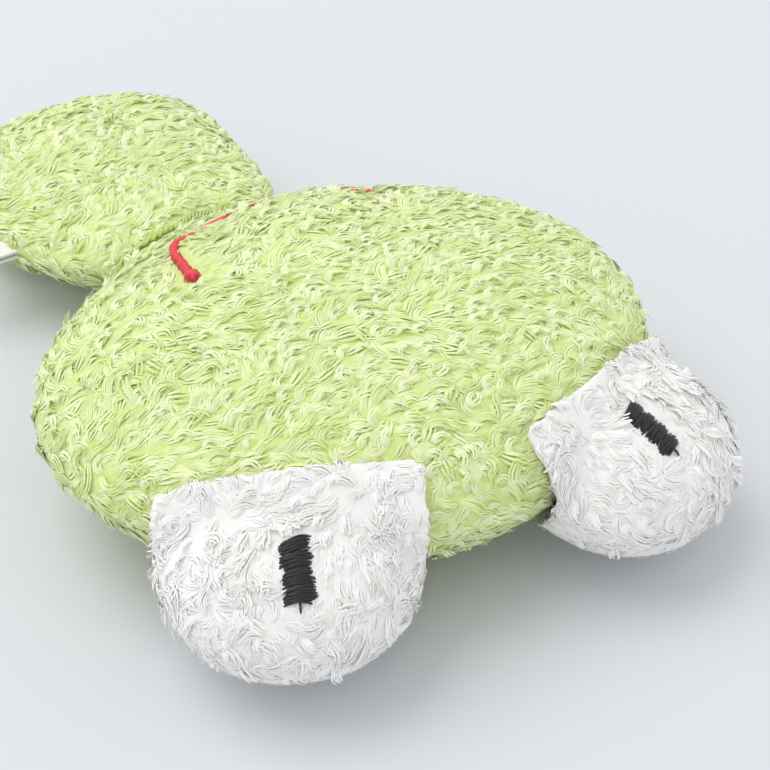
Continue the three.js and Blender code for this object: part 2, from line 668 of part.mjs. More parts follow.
function buildNeck() {
  const shares = Array.from({ length: NECK_RINGS + 1 }, (_, i) => i / NECK_RINGS);
  const skin = shares.map((share) => neckLoop(share, 0));
  const lining = shares.map((share) => neckLoop(share, -PLUSH_THICKNESS)).reverse();
  addPiece(neckGroup, 'neck_sleeve', loftLoops([...skin, ...lining], { closed: true }), greenPlush);
  const core = shares.map((share) => neckLoop(share, -PLUSH_THICKNESS - CLEARANCE));
  addPiece(neckGroup, 'neck_filling', loftLoops(core), filling);
  const ring = Array.from({ length: NECK_THREAD_SIDES }, (_, i) => {
    const angle = i / NECK_THREAD_SIDES * 2 * Math.PI;
    const share = 1 / 2 + NECK_THREAD_RADIUS * Math.sin(angle) / (2 * NECK_HALF_LENGTH);
    return neckLoop(share, CLEARANCE + NECK_THREAD_RADIUS * (1 + Math.cos(angle)));
  });
  addPiece(neckGroup, 'neck_gather_thread', loftLoops(ring, { closed: true }), greenThread);
}

buildHead();
EYES.forEach(buildEye);
buildCapsule();
buildNeck();
buildBody();

export default part;
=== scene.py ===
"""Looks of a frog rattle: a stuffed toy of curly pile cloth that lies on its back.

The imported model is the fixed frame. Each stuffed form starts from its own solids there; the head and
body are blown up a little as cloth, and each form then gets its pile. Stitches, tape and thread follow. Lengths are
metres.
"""

import json
import logging
import math
import random
from collections.abc import Callable
from dataclasses import dataclass, field
from enum import Enum

import bmesh
import bpy
import numpy as np
from mathutils import Matrix, Vector, noise
from mathutils.bvhtree import BVHTree


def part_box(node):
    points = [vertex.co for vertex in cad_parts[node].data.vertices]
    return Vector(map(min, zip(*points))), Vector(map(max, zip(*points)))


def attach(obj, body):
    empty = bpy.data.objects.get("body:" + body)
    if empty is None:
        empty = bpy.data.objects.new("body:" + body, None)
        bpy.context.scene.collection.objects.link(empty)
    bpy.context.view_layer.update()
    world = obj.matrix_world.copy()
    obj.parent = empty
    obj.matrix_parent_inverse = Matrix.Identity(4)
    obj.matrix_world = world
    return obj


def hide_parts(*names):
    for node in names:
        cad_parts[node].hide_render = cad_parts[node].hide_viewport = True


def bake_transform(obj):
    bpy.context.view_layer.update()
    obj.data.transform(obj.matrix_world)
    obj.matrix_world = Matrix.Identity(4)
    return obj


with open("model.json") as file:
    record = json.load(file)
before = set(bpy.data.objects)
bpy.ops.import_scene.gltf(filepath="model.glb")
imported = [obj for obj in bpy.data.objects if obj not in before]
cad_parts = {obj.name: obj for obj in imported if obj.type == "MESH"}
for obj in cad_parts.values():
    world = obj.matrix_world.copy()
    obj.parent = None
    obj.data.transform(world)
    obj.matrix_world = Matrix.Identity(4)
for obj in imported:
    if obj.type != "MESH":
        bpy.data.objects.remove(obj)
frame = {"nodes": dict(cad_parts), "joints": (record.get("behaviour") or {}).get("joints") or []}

LOG = logging.getLogger("frog_rattle")
MM = 0.001
TABLE_GAP = 0.02 * MM
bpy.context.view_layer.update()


class BodyName(str, Enum):
    """Rigid bodies of the frame that pieces ride on."""

    TORSO = "torso"
    NECK = "neck"
    HEAD = "head"
    EYE_LEFT = "eye_left"
    EYE_RIGHT = "eye_right"


class Slot(str, Enum):
    """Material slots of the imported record."""

    GREEN_PLUSH = "green_plush"
    WHITE_PLUSH = "white_plush"
    BLACK_THREAD = "black_thread"
    RED_THREAD = "red_thread"
    GREEN_THREAD = "green_thread"
    WHITE_TAPE = "white_tape"
    CAPSULE = "capsule_plastic"
    BEAD = "bead_plastic"


def joint_named(name: str) -> dict:
    """Find a joint of the frame.

    Args:
        name: The joint's name in the record.

    Returns:
        The joint's entry.
    """
    return next(joint for joint in frame["joints"] if joint["name"] == name)


def linear(red: int, green: int, blue: int) -> tuple[float, float, float, float]:
    """Turn a colour as it is seen on screen into the renderer's linear numbers.

    Args:
        red: Red, from 0 to 255.
        green: Green, from 0 to 255.
        blue: Blue, from 0 to 255.

    Returns:
        Linear red, green, blue and an alpha of one.
    """
    shares = (channel / 255 for channel in (red, green, blue))
    curve = [share / 12.92 if share <= 0.04045 else ((share + 0.055) / 1.055) ** 2.4 for share in shares]
    return (curve[0], curve[1], curve[2], 1.0)


def new_object(name: str, mesh: bpy.types.Mesh) -> bpy.types.Object:
    """Put a mesh in the scene as an object at the origin.

    Args:
        name: The object's name.
        mesh: The mesh, already in place.

    Returns:
        The new object.
    """
    made = bpy.data.objects.new(name, mesh)
    bpy.context.scene.collection.objects.link(made)
    return made


def discard(obj: bpy.types.Object) -> None:
    """Remove a working object and its mesh."""
    mesh = obj.data
    bpy.data.objects.remove(obj)
    bpy.data.meshes.remove(mesh)


def coordinates(mesh: bpy.types.Mesh) -> np.ndarray:
    """Read a mesh's points as rows of x, y, z."""
    flat = np.empty(len(mesh.vertices) * 3)
    mesh.vertices.foreach_get("co", flat)
    return flat.reshape(-1, 3)


def set_coordinates(mesh: bpy.types.Mesh, points: np.ndarray) -> None:
    """Write a mesh's points.

    Args:
        mesh: The mesh to change.
        points: One row of x, y, z for each of its points.
    """
    mesh.vertices.foreach_set("co", points.ravel())
    mesh.update()


def point_normals(mesh: bpy.types.Mesh) -> np.ndarray:
    """Read the direction that each of a mesh's points faces."""
    flat = np.empty(len(mesh.vertices) * 3)
    mesh.vertex_normals.foreach_get("vector", flat)
    return flat.reshape(-1, 3)


def evaluated_mesh(obj: bpy.types.Object) -> bpy.types.Mesh:
    """Copy the mesh that an object's modifiers make."""
    graph = bpy.context.evaluated_depsgraph_get()
    return bpy.data.meshes.new_from_object(
        obj.evaluated_get(graph), preserve_all_data_layers=True, depsgraph=graph
    )


def bake_modifiers(obj: bpy.types.Object) -> None:
    """Make an object's modifiers part of its mesh and remove them."""
    made = evaluated_mesh(obj)
    old = obj.data
    obj.modifiers.clear()
    obj.data = made
    bpy.data.meshes.remove(old)


def surface_of(obj: bpy.types.Object) -> BVHTree:
    """Search tree of an object's faces."""
    mesh = obj.data
    return BVHTree.FromPolygons([v.co for v in mesh.vertices], [list(p.vertices) for p in mesh.polygons])


def smooth(obj: bpy.types.Object) -> None:
    """Shade all faces of an object smoothly."""
    obj.data.polygons.foreach_set("use_smooth", [True] * len(obj.data.polygons))
    obj.data.update()


class NodeTree:
    """Short way to add and join nodes in a shader or geometry tree."""

    def __init__(self, tree: bpy.types.NodeTree) -> None:
        """Keep the tree that nodes are added to.

        Args:
            tree: The tree.
        """
        self.tree = tree

    def add(self, kind: str, inputs: dict | None = None, **settings: object) -> bpy.types.Node:
        """Add a node, set it up and join or fill its inputs.

        Args:
            kind: The node's type.
            inputs: Values or output sockets by input name or number.
            **settings: Properties of the node.

        Returns:
            The new node.
        """
        node = self.tree.nodes.new(kind)
        for name, value in settings.items():
            setattr(node, name, value)
        for key, value in (inputs or {}).items():
            if isinstance(value, bpy.types.NodeSocket):
                self.tree.links.new(value, node.inputs[key])
            else:
                node.inputs[key].default_value = value
        return node

    def join(self, output: bpy.types.NodeSocket, target: bpy.types.NodeSocket) -> None:
        """Join an output to an input."""
        self.tree.links.new(output, target)


def node_group(kind: str, name: str, inputs: dict, outputs: dict) -> tuple[NodeTree, dict, bpy.types.Node]:
    """Start a node group with named inputs and outputs.

    Args:
        kind: ShaderNodeTree or GeometryNodeTree.
        name: The group's name.
        inputs: Socket type, or socket type and default, by input name.
        outputs: Socket type by output name.

    Returns:
        The tree, its input sockets by name and its output node.
    """
    tree = bpy.data.node_groups.new(name, kind)
    for title, wanted in inputs.items():
        socket_type, default = wanted if isinstance(wanted, tuple) else (wanted, None)
        socket = tree.interface.new_socket(name=title, in_out="INPUT", socket_type=socket_type)
        if default is not None:
            socket.default_value = default
    for title, socket_type in outputs.items():
        tree.interface.new_socket(name=title, in_out="OUTPUT", socket_type=socket_type)
    kit = NodeTree(tree)
    start = kit.add("NodeGroupInput")
    end = kit.add("NodeGroupOutput")
    return kit, {title: start.outputs[title] for title in inputs}, end


class SharedShading:
    """Shader node groups that more than one finish uses."""

    def __init__(self) -> None:
        """Build each group once."""
        self.pile_shade = self._pile_shade()
        self.fibre_height = self._fibre_height()
        self.speckle = self._speckle()

    def _pile_shade(self) -> bpy.types.NodeTree:
        """Colour of a lock of pile by its height, with painted shade, a deeper and more saturated green, in its low
        parts and on the bare skin, and painted light on its pale crest; each lock a little different.
        """
        colour, number = "NodeSocketColor", "NodeSocketFloat"
        inputs = {"Root": colour, "Middle": colour, "Tip": colour, "Variation": (number, 0.1)}
        kit, given, end = node_group("ShaderNodeTree", "pile_shade", inputs, {"Color": colour})
        # rise is each point's height in its lock: low parts and the bare skin (no rise) get the root colour as painted
        # shade, the crest gets the tip colour as painted light.
        rise = kit.add("ShaderNodeAttribute", attribute_name="rise")
        tint = kit.add("ShaderNodeAttribute", attribute_name="lock_tint")
        low = kit.add(
            "ShaderNodeMapRange",
            {"Value": rise.outputs["Fac"], "From Min": 0.0, "From Max": 0.55},
            interpolation_type="SMOOTHSTEP",
        )
        high = kit.add(
            "ShaderNodeMapRange",
            {"Value": rise.outputs["Fac"], "From Min": 0.4, "From Max": 1.0},
            interpolation_type="SMOOTHSTEP",
        )
        place = kit.add("ShaderNodeTexCoord")
        drawn = kit.add("ShaderNodeVectorMath", {0: place.outputs["Object"], 1: (0.45, 1.0, 1.0)}, operation="MULTIPLY")
        streak = kit.add("ShaderNodeTexNoise", {"Vector": drawn.outputs[0], "Scale": 1500.0, "Detail": 2.0})
        fleck = kit.add(
            "ShaderNodeMapRange",
            {"Value": streak.outputs["Fac"], "From Min": 0.35, "From Max": 0.7, "To Max": 0.7},
            interpolation_type="SMOOTHSTEP",
        )
        higher = kit.add("ShaderNodeMath", {0: low.outputs[0], 1: fleck.outputs[0]}, operation="MAXIMUM")
        lower = kit.add("ShaderNodeMix", {"Factor": higher.outputs[0]}, data_type="RGBA")
        kit.join(given["Root"], lower.inputs[6])
        kit.join(given["Middle"], lower.inputs[7])
        upper = kit.add("ShaderNodeMix", {"Factor": high.outputs[0]}, data_type="RGBA")
        kit.join(lower.outputs[2], upper.inputs[6])
        kit.join(given["Tip"], upper.inputs[7])
        patch = kit.add("ShaderNodeTexNoise", {"Vector": place.outputs["Object"], "Scale": 90.0, "Detail": 3.0})
        both = kit.add(
            "ShaderNodeMath", {0: tint.outputs["Fac"], 1: patch.outputs["Fac"]}, operation="ADD"
        )
        centred = kit.add("ShaderNodeMath", {0: both.outputs[0], 1: 1.0}, operation="SUBTRACT")
        swing = kit.add("ShaderNodeMath", {0: centred.outputs[0], 1: given["Variation"]}, operation="MULTIPLY")
        value = kit.add("ShaderNodeMath", {0: swing.outputs[0], 1: 1.0}, operation="ADD")
        varied = kit.add("ShaderNodeHueSaturation", {"Color": upper.outputs[2], "Value": value.outputs[0]})
        kit.join(varied.outputs["Color"], end.inputs["Color"])
        return kit.tree

    def _fibre_height(self) -> bpy.types.NodeTree:
        """Height of fine fibres that run along a lock or thread, on its own UV map."""
        number = "NodeSocketFloat"
        inputs = {"Across": (number, 14.0), "Along": (number, 1.5)}
        kit, given, end = node_group("ShaderNodeTree", "fibre_height", inputs, {"Height": number})
        uv = kit.add("ShaderNodeUVMap", uv_map="lay")
        scale = kit.add("ShaderNodeCombineXYZ", {"X": given["Across"], "Y": given["Along"], "Z": 1.0})
        spread = kit.add(
            "ShaderNodeVectorMath", {0: uv.outputs["UV"], 1: scale.outputs[0]}, operation="MULTIPLY"
        )
        streak = kit.add("ShaderNodeTexNoise", {"Vector": spread.outputs[0], "Scale": 1.0, "Detail": 4.0})
        kit.join(streak.outputs["Fac"], end.inputs["Height"])
        return kit.tree

    def _speckle(self) -> bpy.types.NodeTree:
        """Slight unevenness of a moulded or woven face, as colour share and height."""
        number = "NodeSocketFloat"
        inputs = {"Grain Size": (number, 400.0)}
        kit, given, end = node_group("ShaderNodeTree", "speckle", inputs, {"Share": number, "Height": number})
        place = kit.add("ShaderNodeTexCoord")
        coarse = kit.add("ShaderNodeTexNoise", {"Vector": place.outputs["Object"], "Scale": given["Grain Size"]})
        finer = kit.add("ShaderNodeMath", {0: given["Grain Size"], 1: 4.0}, operation="MULTIPLY")
        fine = kit.add("ShaderNodeTexNoise", {"Vector": place.outputs["Object"], "Scale": finer.outputs[0]})
        kit.join(coarse.outputs["Fac"], end.inputs["Share"])
        kit.join(fine.outputs["Fac"], end.inputs["Height"])
        return kit.tree


def start_material(name: str, preview: tuple) -> tuple[bpy.types.Material, NodeTree, bpy.types.Node]:
    """Make a material with one Principled shader.

    Args:
        name: The material's name.
        preview: Its colour where nodes aren't read.

    Returns:
        The material, its nodes and the shader.
    """
    material = bpy.data.materials.new(name)
    material.use_nodes = True
    material.diffuse_color = preview
    kit = NodeTree(material.node_tree)
    return material, kit, material.node_tree.nodes["Principled BSDF"]


@dataclass(frozen=True)
class PlushFinish:
    """Curly pile cloth: root, middle and tip colours of its locks, the root colour painted shade and the tip colour
    painted light, and how they catch light.
    """

    name: str
    # root: the deep colour, painted shade of the pile's crevices; tip: the pale crest colour, painted light on the
    # lock's top.
    root: tuple
    middle: tuple
    tip: tuple
    variation: float
    sheen: float

    def material(self, shared: SharedShading) -> bpy.types.Material:
        """Build the cloth's material.

        Args:
            shared: The shared shader groups.

        Returns:
            The material.
        """
        material, kit, shader = start_material(self.name, self.middle)
        shade = kit.add(
            "ShaderNodeGroup",
            node_tree=shared.pile_shade,
        )
        for title, value in (("Root", self.root), ("Middle", self.middle), ("Tip", self.tip)):
            shade.inputs[title].default_value = value
        shade.inputs["Variation"].default_value = self.variation
        kit.join(shade.outputs["Color"], shader.inputs["Base Color"])
        fibre = kit.add("ShaderNodeGroup", node_tree=shared.fibre_height)
        bump = kit.add("ShaderNodeBump", {"Height": fibre.outputs["Height"], "Strength": 0.15, "Distance": 0.05 * MM})
        kit.join(bump.outputs["Normal"], shader.inputs["Normal"])
        shader.inputs["Roughness"].default_value = 0.9
        shader.inputs["Specular IOR Level"].default_value = 0.15
        shader.inputs["Sheen Weight"].default_value = self.sheen
        shader.inputs["Sheen Roughness"].default_value = 0.5
        return material


@dataclass(frozen=True)
class ThreadFinish:
    """Embroidery or sewing thread with a soft shine along its twist, partly from its roughness and sheen and partly
    painted: a highlight colour on its raised fibres and painted shade between them.
    """

    name: str
    dark: tuple
    light: tuple
    roughness: float = 0.45

    def material(self, shared: SharedShading) -> bpy.types.Material:
        """Build the thread's material.

        Args:
            shared: The shared shader groups.

        Returns:
            The material.
        """
        material, kit, shader = start_material(self.name, self.light)
        fibre = kit.add("ShaderNodeGroup", node_tree=shared.fibre_height)
        fibre.inputs["Across"].default_value = 9.0
        fibre.inputs["Along"].default_value = 2.5
        # Painted highlight and shade: raised fibres take the light colour, low ones between them the dark colour.
        mix = kit.add("ShaderNodeMix", {"Factor": fibre.outputs["Height"]}, data_type="RGBA")
        mix.inputs[6].default_value = self.dark
        mix.inputs[7].default_value = self.light
        kit.join(mix.outputs[2], shader.inputs["Base Color"])
        bump = kit.add("ShaderNodeBump", {"Height": fibre.outputs["Height"], "Strength": 0.6, "Distance": 0.08 * MM})
        kit.join(bump.outputs["Normal"], shader.inputs["Normal"])
        shader.inputs["Roughness"].default_value = self.roughness
        shader.inputs["Sheen Weight"].default_value = 0.2
        return material


@dataclass(frozen=True)
class GrainFinish:
    """Moulded plastic or woven tape with a fine grain."""

    name: str
    colour: tuple
    dark: tuple
    roughness: float
    grain: float

    def material(self, shared: SharedShading) -> bpy.types.Material:
        """Build the finish's material.

        Args:
            shared: The shared shader groups.

        Returns:
            The material.
        """
        material, kit, shader = start_material(self.name, self.colour)
        speckle = kit.add("ShaderNodeGroup", node_tree=shared.speckle)
        speckle.inputs["Grain Size"].default_value = self.grain
        mix = kit.add("ShaderNodeMix", {"Factor": speckle.outputs["Share"]}, data_type="RGBA")
        mix.inputs[6].default_value = self.dark
        mix.inputs[7].default_value = self.colour
        kit.join(mix.outputs[2], shader.inputs["Base Color"])
        bump = kit.add("ShaderNodeBump", {"Height": speckle.outputs["Height"], "Strength": 0.2, "Distance": 0.1 * MM})
        kit.join(bump.outputs["Normal"], shader.inputs["Normal"])
        shader.inputs["Roughness"].default_value = self.roughness
        return material


@dataclass
class Finishes:
    """All the toy's materials."""

    shared: SharedShading = field(default_factory=SharedShading)

    def __post_init__(self) -> None:
        """Build each material once."""
        # Root, middle and tip colours: the root colour is painted shade for the pile's depths, the tip colour painted
        # light on its crests.
        self.green = PlushFinish(
            "green_pile", linear(212, 231, 142), linear(230, 243, 177), linear(241, 249, 205), 0.05, 0.3
        ).material(self.shared)
        self.white = PlushFinish(
            "white_pile", linear(246, 244, 241), linear(250, 249, 247), linear(253, 253, 252), 0.03, 0.3
        ).material(self.shared)
        # Each thread runs from its dark value between the fibres, painted shade, to its light value on the raised
        # fibres, painted highlight.
        self.black = ThreadFinish("black_thread", linear(6, 6, 10), linear(30, 31, 42)).material(self.shared)
        self.red = ThreadFinish("red_thread", linear(214, 40, 58), linear(255, 84, 96)).material(self.shared)
        self.green_thread = ThreadFinish(
            "green_thread", linear(178, 204, 100), linear(214, 232, 150)
        ).material(self.shared)
        self.tape = GrainFinish(
            "white_tape", linear(246, 246, 244), linear(226, 226, 222), 0.7, 900.0
        ).material(self.shared)
        self.capsule = GrainFinish(
            "capsule_plastic", linear(236, 236, 230), linear(222, 222, 214), 0.4, 300.0
        ).material(self.shared)
        self.bead = GrainFinish(
            "bead_plastic", linear(222, 186, 96), linear(202, 162, 70), 0.3, 300.0
        ).material(self.shared)


@dataclass(frozen=True)
class LockShape:
    """One curled lock of pile: a bundle of fine strands that starts under the skin and leans over to X."""

    length: float
    width: float
    arch: float
    first_lean: float
    last_lean: float
    curl: float
    wave: float
    strands: int = 7
    strand_width: float = 0.38 * MM
    sink: float = 0.3 * MM
    rings: int = 5
    fray: float = 0.22
    end_share: float = 0.35

    def mesh(self, name: str, seed: int) -> bpy.types.Mesh:
        """Build the lock's strands with their rise from root to crest and their UV map.

        Args:
            name: The mesh's name.
            seed: Seed of the strands' chance shifts.

        Returns:
            The mesh.
        """
        chance = random.Random(seed)
        points, rises, shares, lays, faces = [], [], [], [], []
        stations = self._stations()
        for strand in range(self.strands):
            place = (2 * strand + 1) / self.strands - 1
            bend, depth = chance.uniform(-1, 1), chance.uniform(-1, 1)
            last = 1 - self.fray * chance.random()
            for ring in range(self.rings + 1):
                share = last * ring / self.rings
                settled = (ring / self.rings) ** 4
                centre, side, up, fullness = stations(share)
                across = place * fullness + self.fray * (0.4 * bend * math.sin(math.pi * share) + depth * share ** 2)
                lean = -0.35 * across
                over = side * math.cos(lean) + up * math.sin(lean)
                height = self.arch * fullness * (1 - across ** 2 + 0.1 * depth) * (1 - settled) - self.sink * settled
                middle = centre + side * across * self.width / 2 + up * height
                half = self.strand_width / 2 * (0.3 + 0.7 * math.sin(math.pi * min(1, share + 0.12)) ** 0.5)
                for end in (-1, 1):
                    points.append(middle + over * end * half)
                    # rise is the point's height in the lock, which the pile colour turns into painted shade low down
                    # and painted light on the crest.
                    rises.append(min(1.0, max(0.0, (points[-1].z + 0.1 * MM) / (self.arch + 0.2 * MM))))
                    shares.append(ring / self.rings)
                    lays.append(((strand + (end + 1) / 2) / self.strands, share))
            first = len(points) - 2 * (self.rings + 1)
            faces += [(a, a + 1, a + 3, a + 2) for a in range(first, len(points) - 2, 2)]
        mesh = bpy.data.meshes.new(name)
        mesh.from_pydata(points, [], faces)
        levels = [point.z for point in points]
        for title, values in (("rise", rises), ("level", levels), ("share", shares)):
            mesh.attributes.new(title, "FLOAT", "POINT").data.foreach_set("value", values)
        lay = mesh.uv_layers.new(name="lay")
        for loop in mesh.loops:
            lay.data[loop.index].uv = lays[loop.vertex_index]
        mesh.update()
        return mesh

    def _stations(self) -> Callable[[float], tuple[Vector, Vector, Vector, float]]:
        """Middle line of the lock as a function of the share of its length."""
        steps = 24
        centres = [Vector((0, 0, -self.sink))]
        for step in range(steps):
            centres.append(centres[-1] + self._way((step + 0.5) / steps) * self.length / steps)

        def station(share: float) -> tuple[Vector, Vector, Vector, float]:
            """Middle, side, upward direction and fullness at a share of the length."""
            way = self._way(share)
            side = Vector((0, 0, 1)).cross(way).normalized()
            fullness = self.end_share + (1 - self.end_share) * math.sin(math.pi * share) ** 0.5
            whole = min(steps - 1, int(share * steps))
            centre = centres[whole].lerp(centres[whole + 1], share * steps - whole)
            return centre, side, way.cross(side), fullness

        return station

    def _way(self, share: float) -> Vector:
        """Direction of the lock at a share of its length."""
        lean = self.first_lean + (self.last_lean - self.first_lean) * share
        turn = self.curl * (2 * share - 1) + self.wave * math.sin(2 * math.pi * share)
        return Vector((math.sin(lean) * math.cos(turn), math.sin(lean) * math.sin(turn), math.cos(lean)))


def apply_values(modifier: bpy.types.Modifier, values: dict) -> None:
    """Set a Geometry Nodes modifier's inputs by their names.

    Args:
        modifier: The modifier, with its tree set.
        values: Values by input name.
    """
    for item in modifier.node_group.interface.items_tree:
        if item.item_type == "SOCKET" and item.in_out == "INPUT" and item.name in values:
            modifier[item.identifier] = values[item.name]


class Pile:
    """Geometry Nodes tree that grows locks all over a skin."""

    def __init__(self, name: str, locks: list[LockShape], spacing: float, stray: float, tilt: float) -> None:
        """Build the tree and the locks that it picks from.

        Args:
            name: The pile's name.
            locks: The shapes that a lock may have.
            spacing: Least distance between two locks.
            stray: How far a lock turns away from the comb's direction.
            tilt: How far a lock leans to any side, in radians.
        """
        self.name = name
        self.spacing = spacing
        self.stray = stray
        self.tilt = tilt
        self.locks = bpy.data.collections.new(name + "_locks")
        for number, shape in enumerate(locks):
            title = f"{name}_lock_{number}"
            self.locks.objects.link(bpy.data.objects.new(title, shape.mesh(title, number)))
        self.tree = self._tree()

    def _tree(self) -> bpy.types.NodeTree:
        """Build the tree: scatter, turn, instance, realize, keep off the table, set the material."""
        number = "NodeSocketFloat"
        inputs = {
            "Geometry": "NodeSocketGeometry",
            "Locks": "NodeSocketCollection",
            "Material": "NodeSocketMaterial",
            "Spacing": (number, 1.0 * MM),
            "Stray": (number, 0.8),
            "Tilt": (number, 0.3),
            "Lift": (number, 1.5 * MM),
            "Smallest": (number, 0.75),
            "Largest": (number, 1.2),
            "Table": (number, 0.0),
            "Seed": ("NodeSocketInt", 1),
        }
        kit, given, end = node_group(
            "GeometryNodeTree", self.name, inputs, {"Geometry": "NodeSocketGeometry"}
        )
        scatter = kit.add(
            "GeometryNodeDistributePointsOnFaces",
            {"Mesh": given["Geometry"], "Distance Min": given["Spacing"], "Density Max": 6e6, "Seed": given["Seed"]},
            distribute_method="POISSON",
        )
        rotation = self._rotation(kit, given, scatter.outputs["Normal"])
        chance = kit.add("FunctionNodeRandomValue", {2: given["Smallest"], 3: given["Largest"], "Seed": 3})
        length = kit.add("GeometryNodeInputNamedAttribute", {"Name": "pile_scale"}, data_type="FLOAT")
        scale = kit.add("ShaderNodeMath", {0: chance.outputs[1], 1: length.outputs[0]}, operation="MULTIPLY")
        grows = kit.add("FunctionNodeCompare", {0: length.outputs[0], 1: 0.05}, operation="GREATER_THAN")
        draw = kit.add("FunctionNodeRandomValue", {"Seed": 9})
        loose = kit.add("ShaderNodeMath", {0: draw.outputs[1], 1: 3.0}, operation="POWER")
        most = kit.add("ShaderNodeMath", {0: length.outputs[0], 1: given["Lift"]}, operation="MULTIPLY")
        lift = kit.add("ShaderNodeMath", {0: loose.outputs[0], 1: most.outputs[0]}, operation="MULTIPLY")
        places = scatter.outputs["Points"]
        for title, value in (("lock_size", scale.outputs[0]), ("lift", lift.outputs[0])):
            stored = kit.add(
                "GeometryNodeStoreNamedAttribute",
                {"Geometry": places, "Name": title, "Value": value},
                data_type="FLOAT",
                domain="POINT",
            )
            places = stored.outputs[0]
        shapes = kit.add(
            "GeometryNodeCollectionInfo",
            {"Collection": given["Locks"], "Separate Children": True, "Reset Children": True},
        )
        grow = kit.add(
            "GeometryNodeInstanceOnPoints",
            {
                "Points": places,
                "Selection": grows.outputs[0],
                "Instance": shapes.outputs[0],
                "Pick Instance": True,
                "Rotation": rotation,
                "Scale": scale.outputs[0],
            },
        )
        shade = kit.add("FunctionNodeRandomValue", {"Seed": 5})
        tinted = kit.add(
            "GeometryNodeStoreNamedAttribute",
            {"Geometry": grow.outputs[0], "Name": "lock_tint", "Value": shade.outputs[1]},
            data_type="FLOAT",
            domain="INSTANCE",
        )
        real = kit.add("GeometryNodeRealizeInstances", {"Geometry": tinted.outputs[0]})
        whole = kit.add("GeometryNodeJoinGeometry", {0: self._draped(kit, given, real.outputs[0])})
        kit.join(given["Geometry"], whole.inputs[0])
        place = kit.add("GeometryNodeInputPosition")
        parts = kit.add("ShaderNodeSeparateXYZ", {0: place.outputs[0]})
        above = kit.add("ShaderNodeMath", {0: parts.outputs["Z"], 1: given["Table"]}, operation="MAXIMUM")
        held = kit.add(
            "ShaderNodeCombineXYZ", {"X": parts.outputs["X"], "Y": parts.outputs["Y"], "Z": above.outputs[0]}
        )
        lifted = kit.add("GeometryNodeSetPosition", {"Geometry": whole.outputs[0], "Position": held.outputs[0]})
        rounded = kit.add("GeometryNodeSetShadeSmooth", {"Geometry": lifted.outputs[0]})
        dressed = kit.add(
            "GeometryNodeSetMaterial", {"Geometry": rounded.outputs[0], "Material": given["Material"]}
        )
        kit.join(dressed.outputs[0], end.inputs["Geometry"])
        return kit.tree

    def _draped(self, kit: NodeTree, given: dict, locks: bpy.types.NodeSocket) -> bpy.types.NodeSocket:
        """Lay the locks along the skin's curve, each point at its own height above it, some with a raised tip.

        Args:
            kit: The tree.
            given: The tree's input sockets.
            locks: The realized locks.

        Returns:
            The draped locks' socket.
        """
        values = {
            name: kit.add("GeometryNodeInputNamedAttribute", {"Name": name}, data_type="FLOAT").outputs[0]
            for name in ("level", "share", "lock_size", "lift")
        }
        level = kit.add("ShaderNodeMath", {0: values["level"], 1: values["lock_size"]}, operation="MULTIPLY")
        bent = kit.add("ShaderNodeMath", {0: values["share"], 1: 2.0}, operation="POWER")
        raised = kit.add(
            "ShaderNodeMath", {0: bent.outputs[0], 1: values["lift"], 2: level.outputs[0]}, operation="MULTIPLY_ADD"
        )
        outward = kit.add("GeometryNodeInputNamedAttribute", {"Name": "outward"}, data_type="FLOAT_VECTOR")
        sampled = kit.add(
            "GeometryNodeSampleNearestSurface",
            {"Mesh": given["Geometry"], "Value": outward.outputs[0]},
            data_type="FLOAT_VECTOR",
        )
        nearest = kit.add("GeometryNodeProximity", {0: given["Geometry"]}, target_element="FACES")
        direction = kit.add("ShaderNodeVectorMath", {0: sampled.outputs[0]}, operation="NORMALIZE")
        step = kit.add(
            "ShaderNodeVectorMath", {0: direction.outputs[0], "Scale": raised.outputs[0]}, operation="SCALE"
        )
        place = kit.add(
            "ShaderNodeVectorMath", {0: nearest.outputs["Position"], 1: step.outputs[0]}, operation="ADD"
        )
        return kit.add("GeometryNodeSetPosition", {"Geometry": locks, "Position": place.outputs[0]}).outputs[0]

    def _rotation(self, kit: NodeTree, given: dict, normal: bpy.types.NodeSocket) -> bpy.types.NodeSocket:
        """Turn each lock away from the skin, along the comb, with chance strays.

        Args:
            kit: The tree.
            given: The tree's input sockets.
            normal: The skin's direction at each lock.

        Returns:
            The rotation's socket.
        """
        vector = "FLOAT_VECTOR"
        comb = kit.add("GeometryNodeInputNamedAttribute", {"Name": "comb"}, data_type=vector)
        chance = kit.add("FunctionNodeRandomValue", {0: (-1, -1, -1), 1: (1, 1, 1), "Seed": 2}, data_type=vector)
        stray = kit.add("ShaderNodeVectorMath", {0: chance.outputs[0], "Scale": given["Stray"]}, operation="SCALE")
        heading = kit.add("ShaderNodeVectorMath", {0: comb.outputs[0], 1: stray.outputs[0]}, operation="ADD")
        upright = kit.add("FunctionNodeAlignRotationToVector", {"Vector": normal}, axis="Z")
        turned = kit.add(
            "FunctionNodeAlignRotationToVector",
            {"Rotation": upright.outputs[0], "Vector": heading.outputs[0]},
            axis="X",
            pivot_axis="Z",
        )
        wobble = kit.add("FunctionNodeRandomValue", {0: (-1, -1, 0), 1: (1, 1, 0), "Seed": 7}, data_type=vector)
        lean = kit.add("ShaderNodeVectorMath", {0: wobble.outputs[0], "Scale": given["Tilt"]}, operation="SCALE")
        tilt = kit.add("FunctionNodeEulerToRotation", {0: lean.outputs[0]})
        tilted = kit.add(
            "FunctionNodeRotateRotation", {0: turned.outputs[0], 1: tilt.outputs[0]}, rotation_space="LOCAL"
        )
        return tilted.outputs[0]

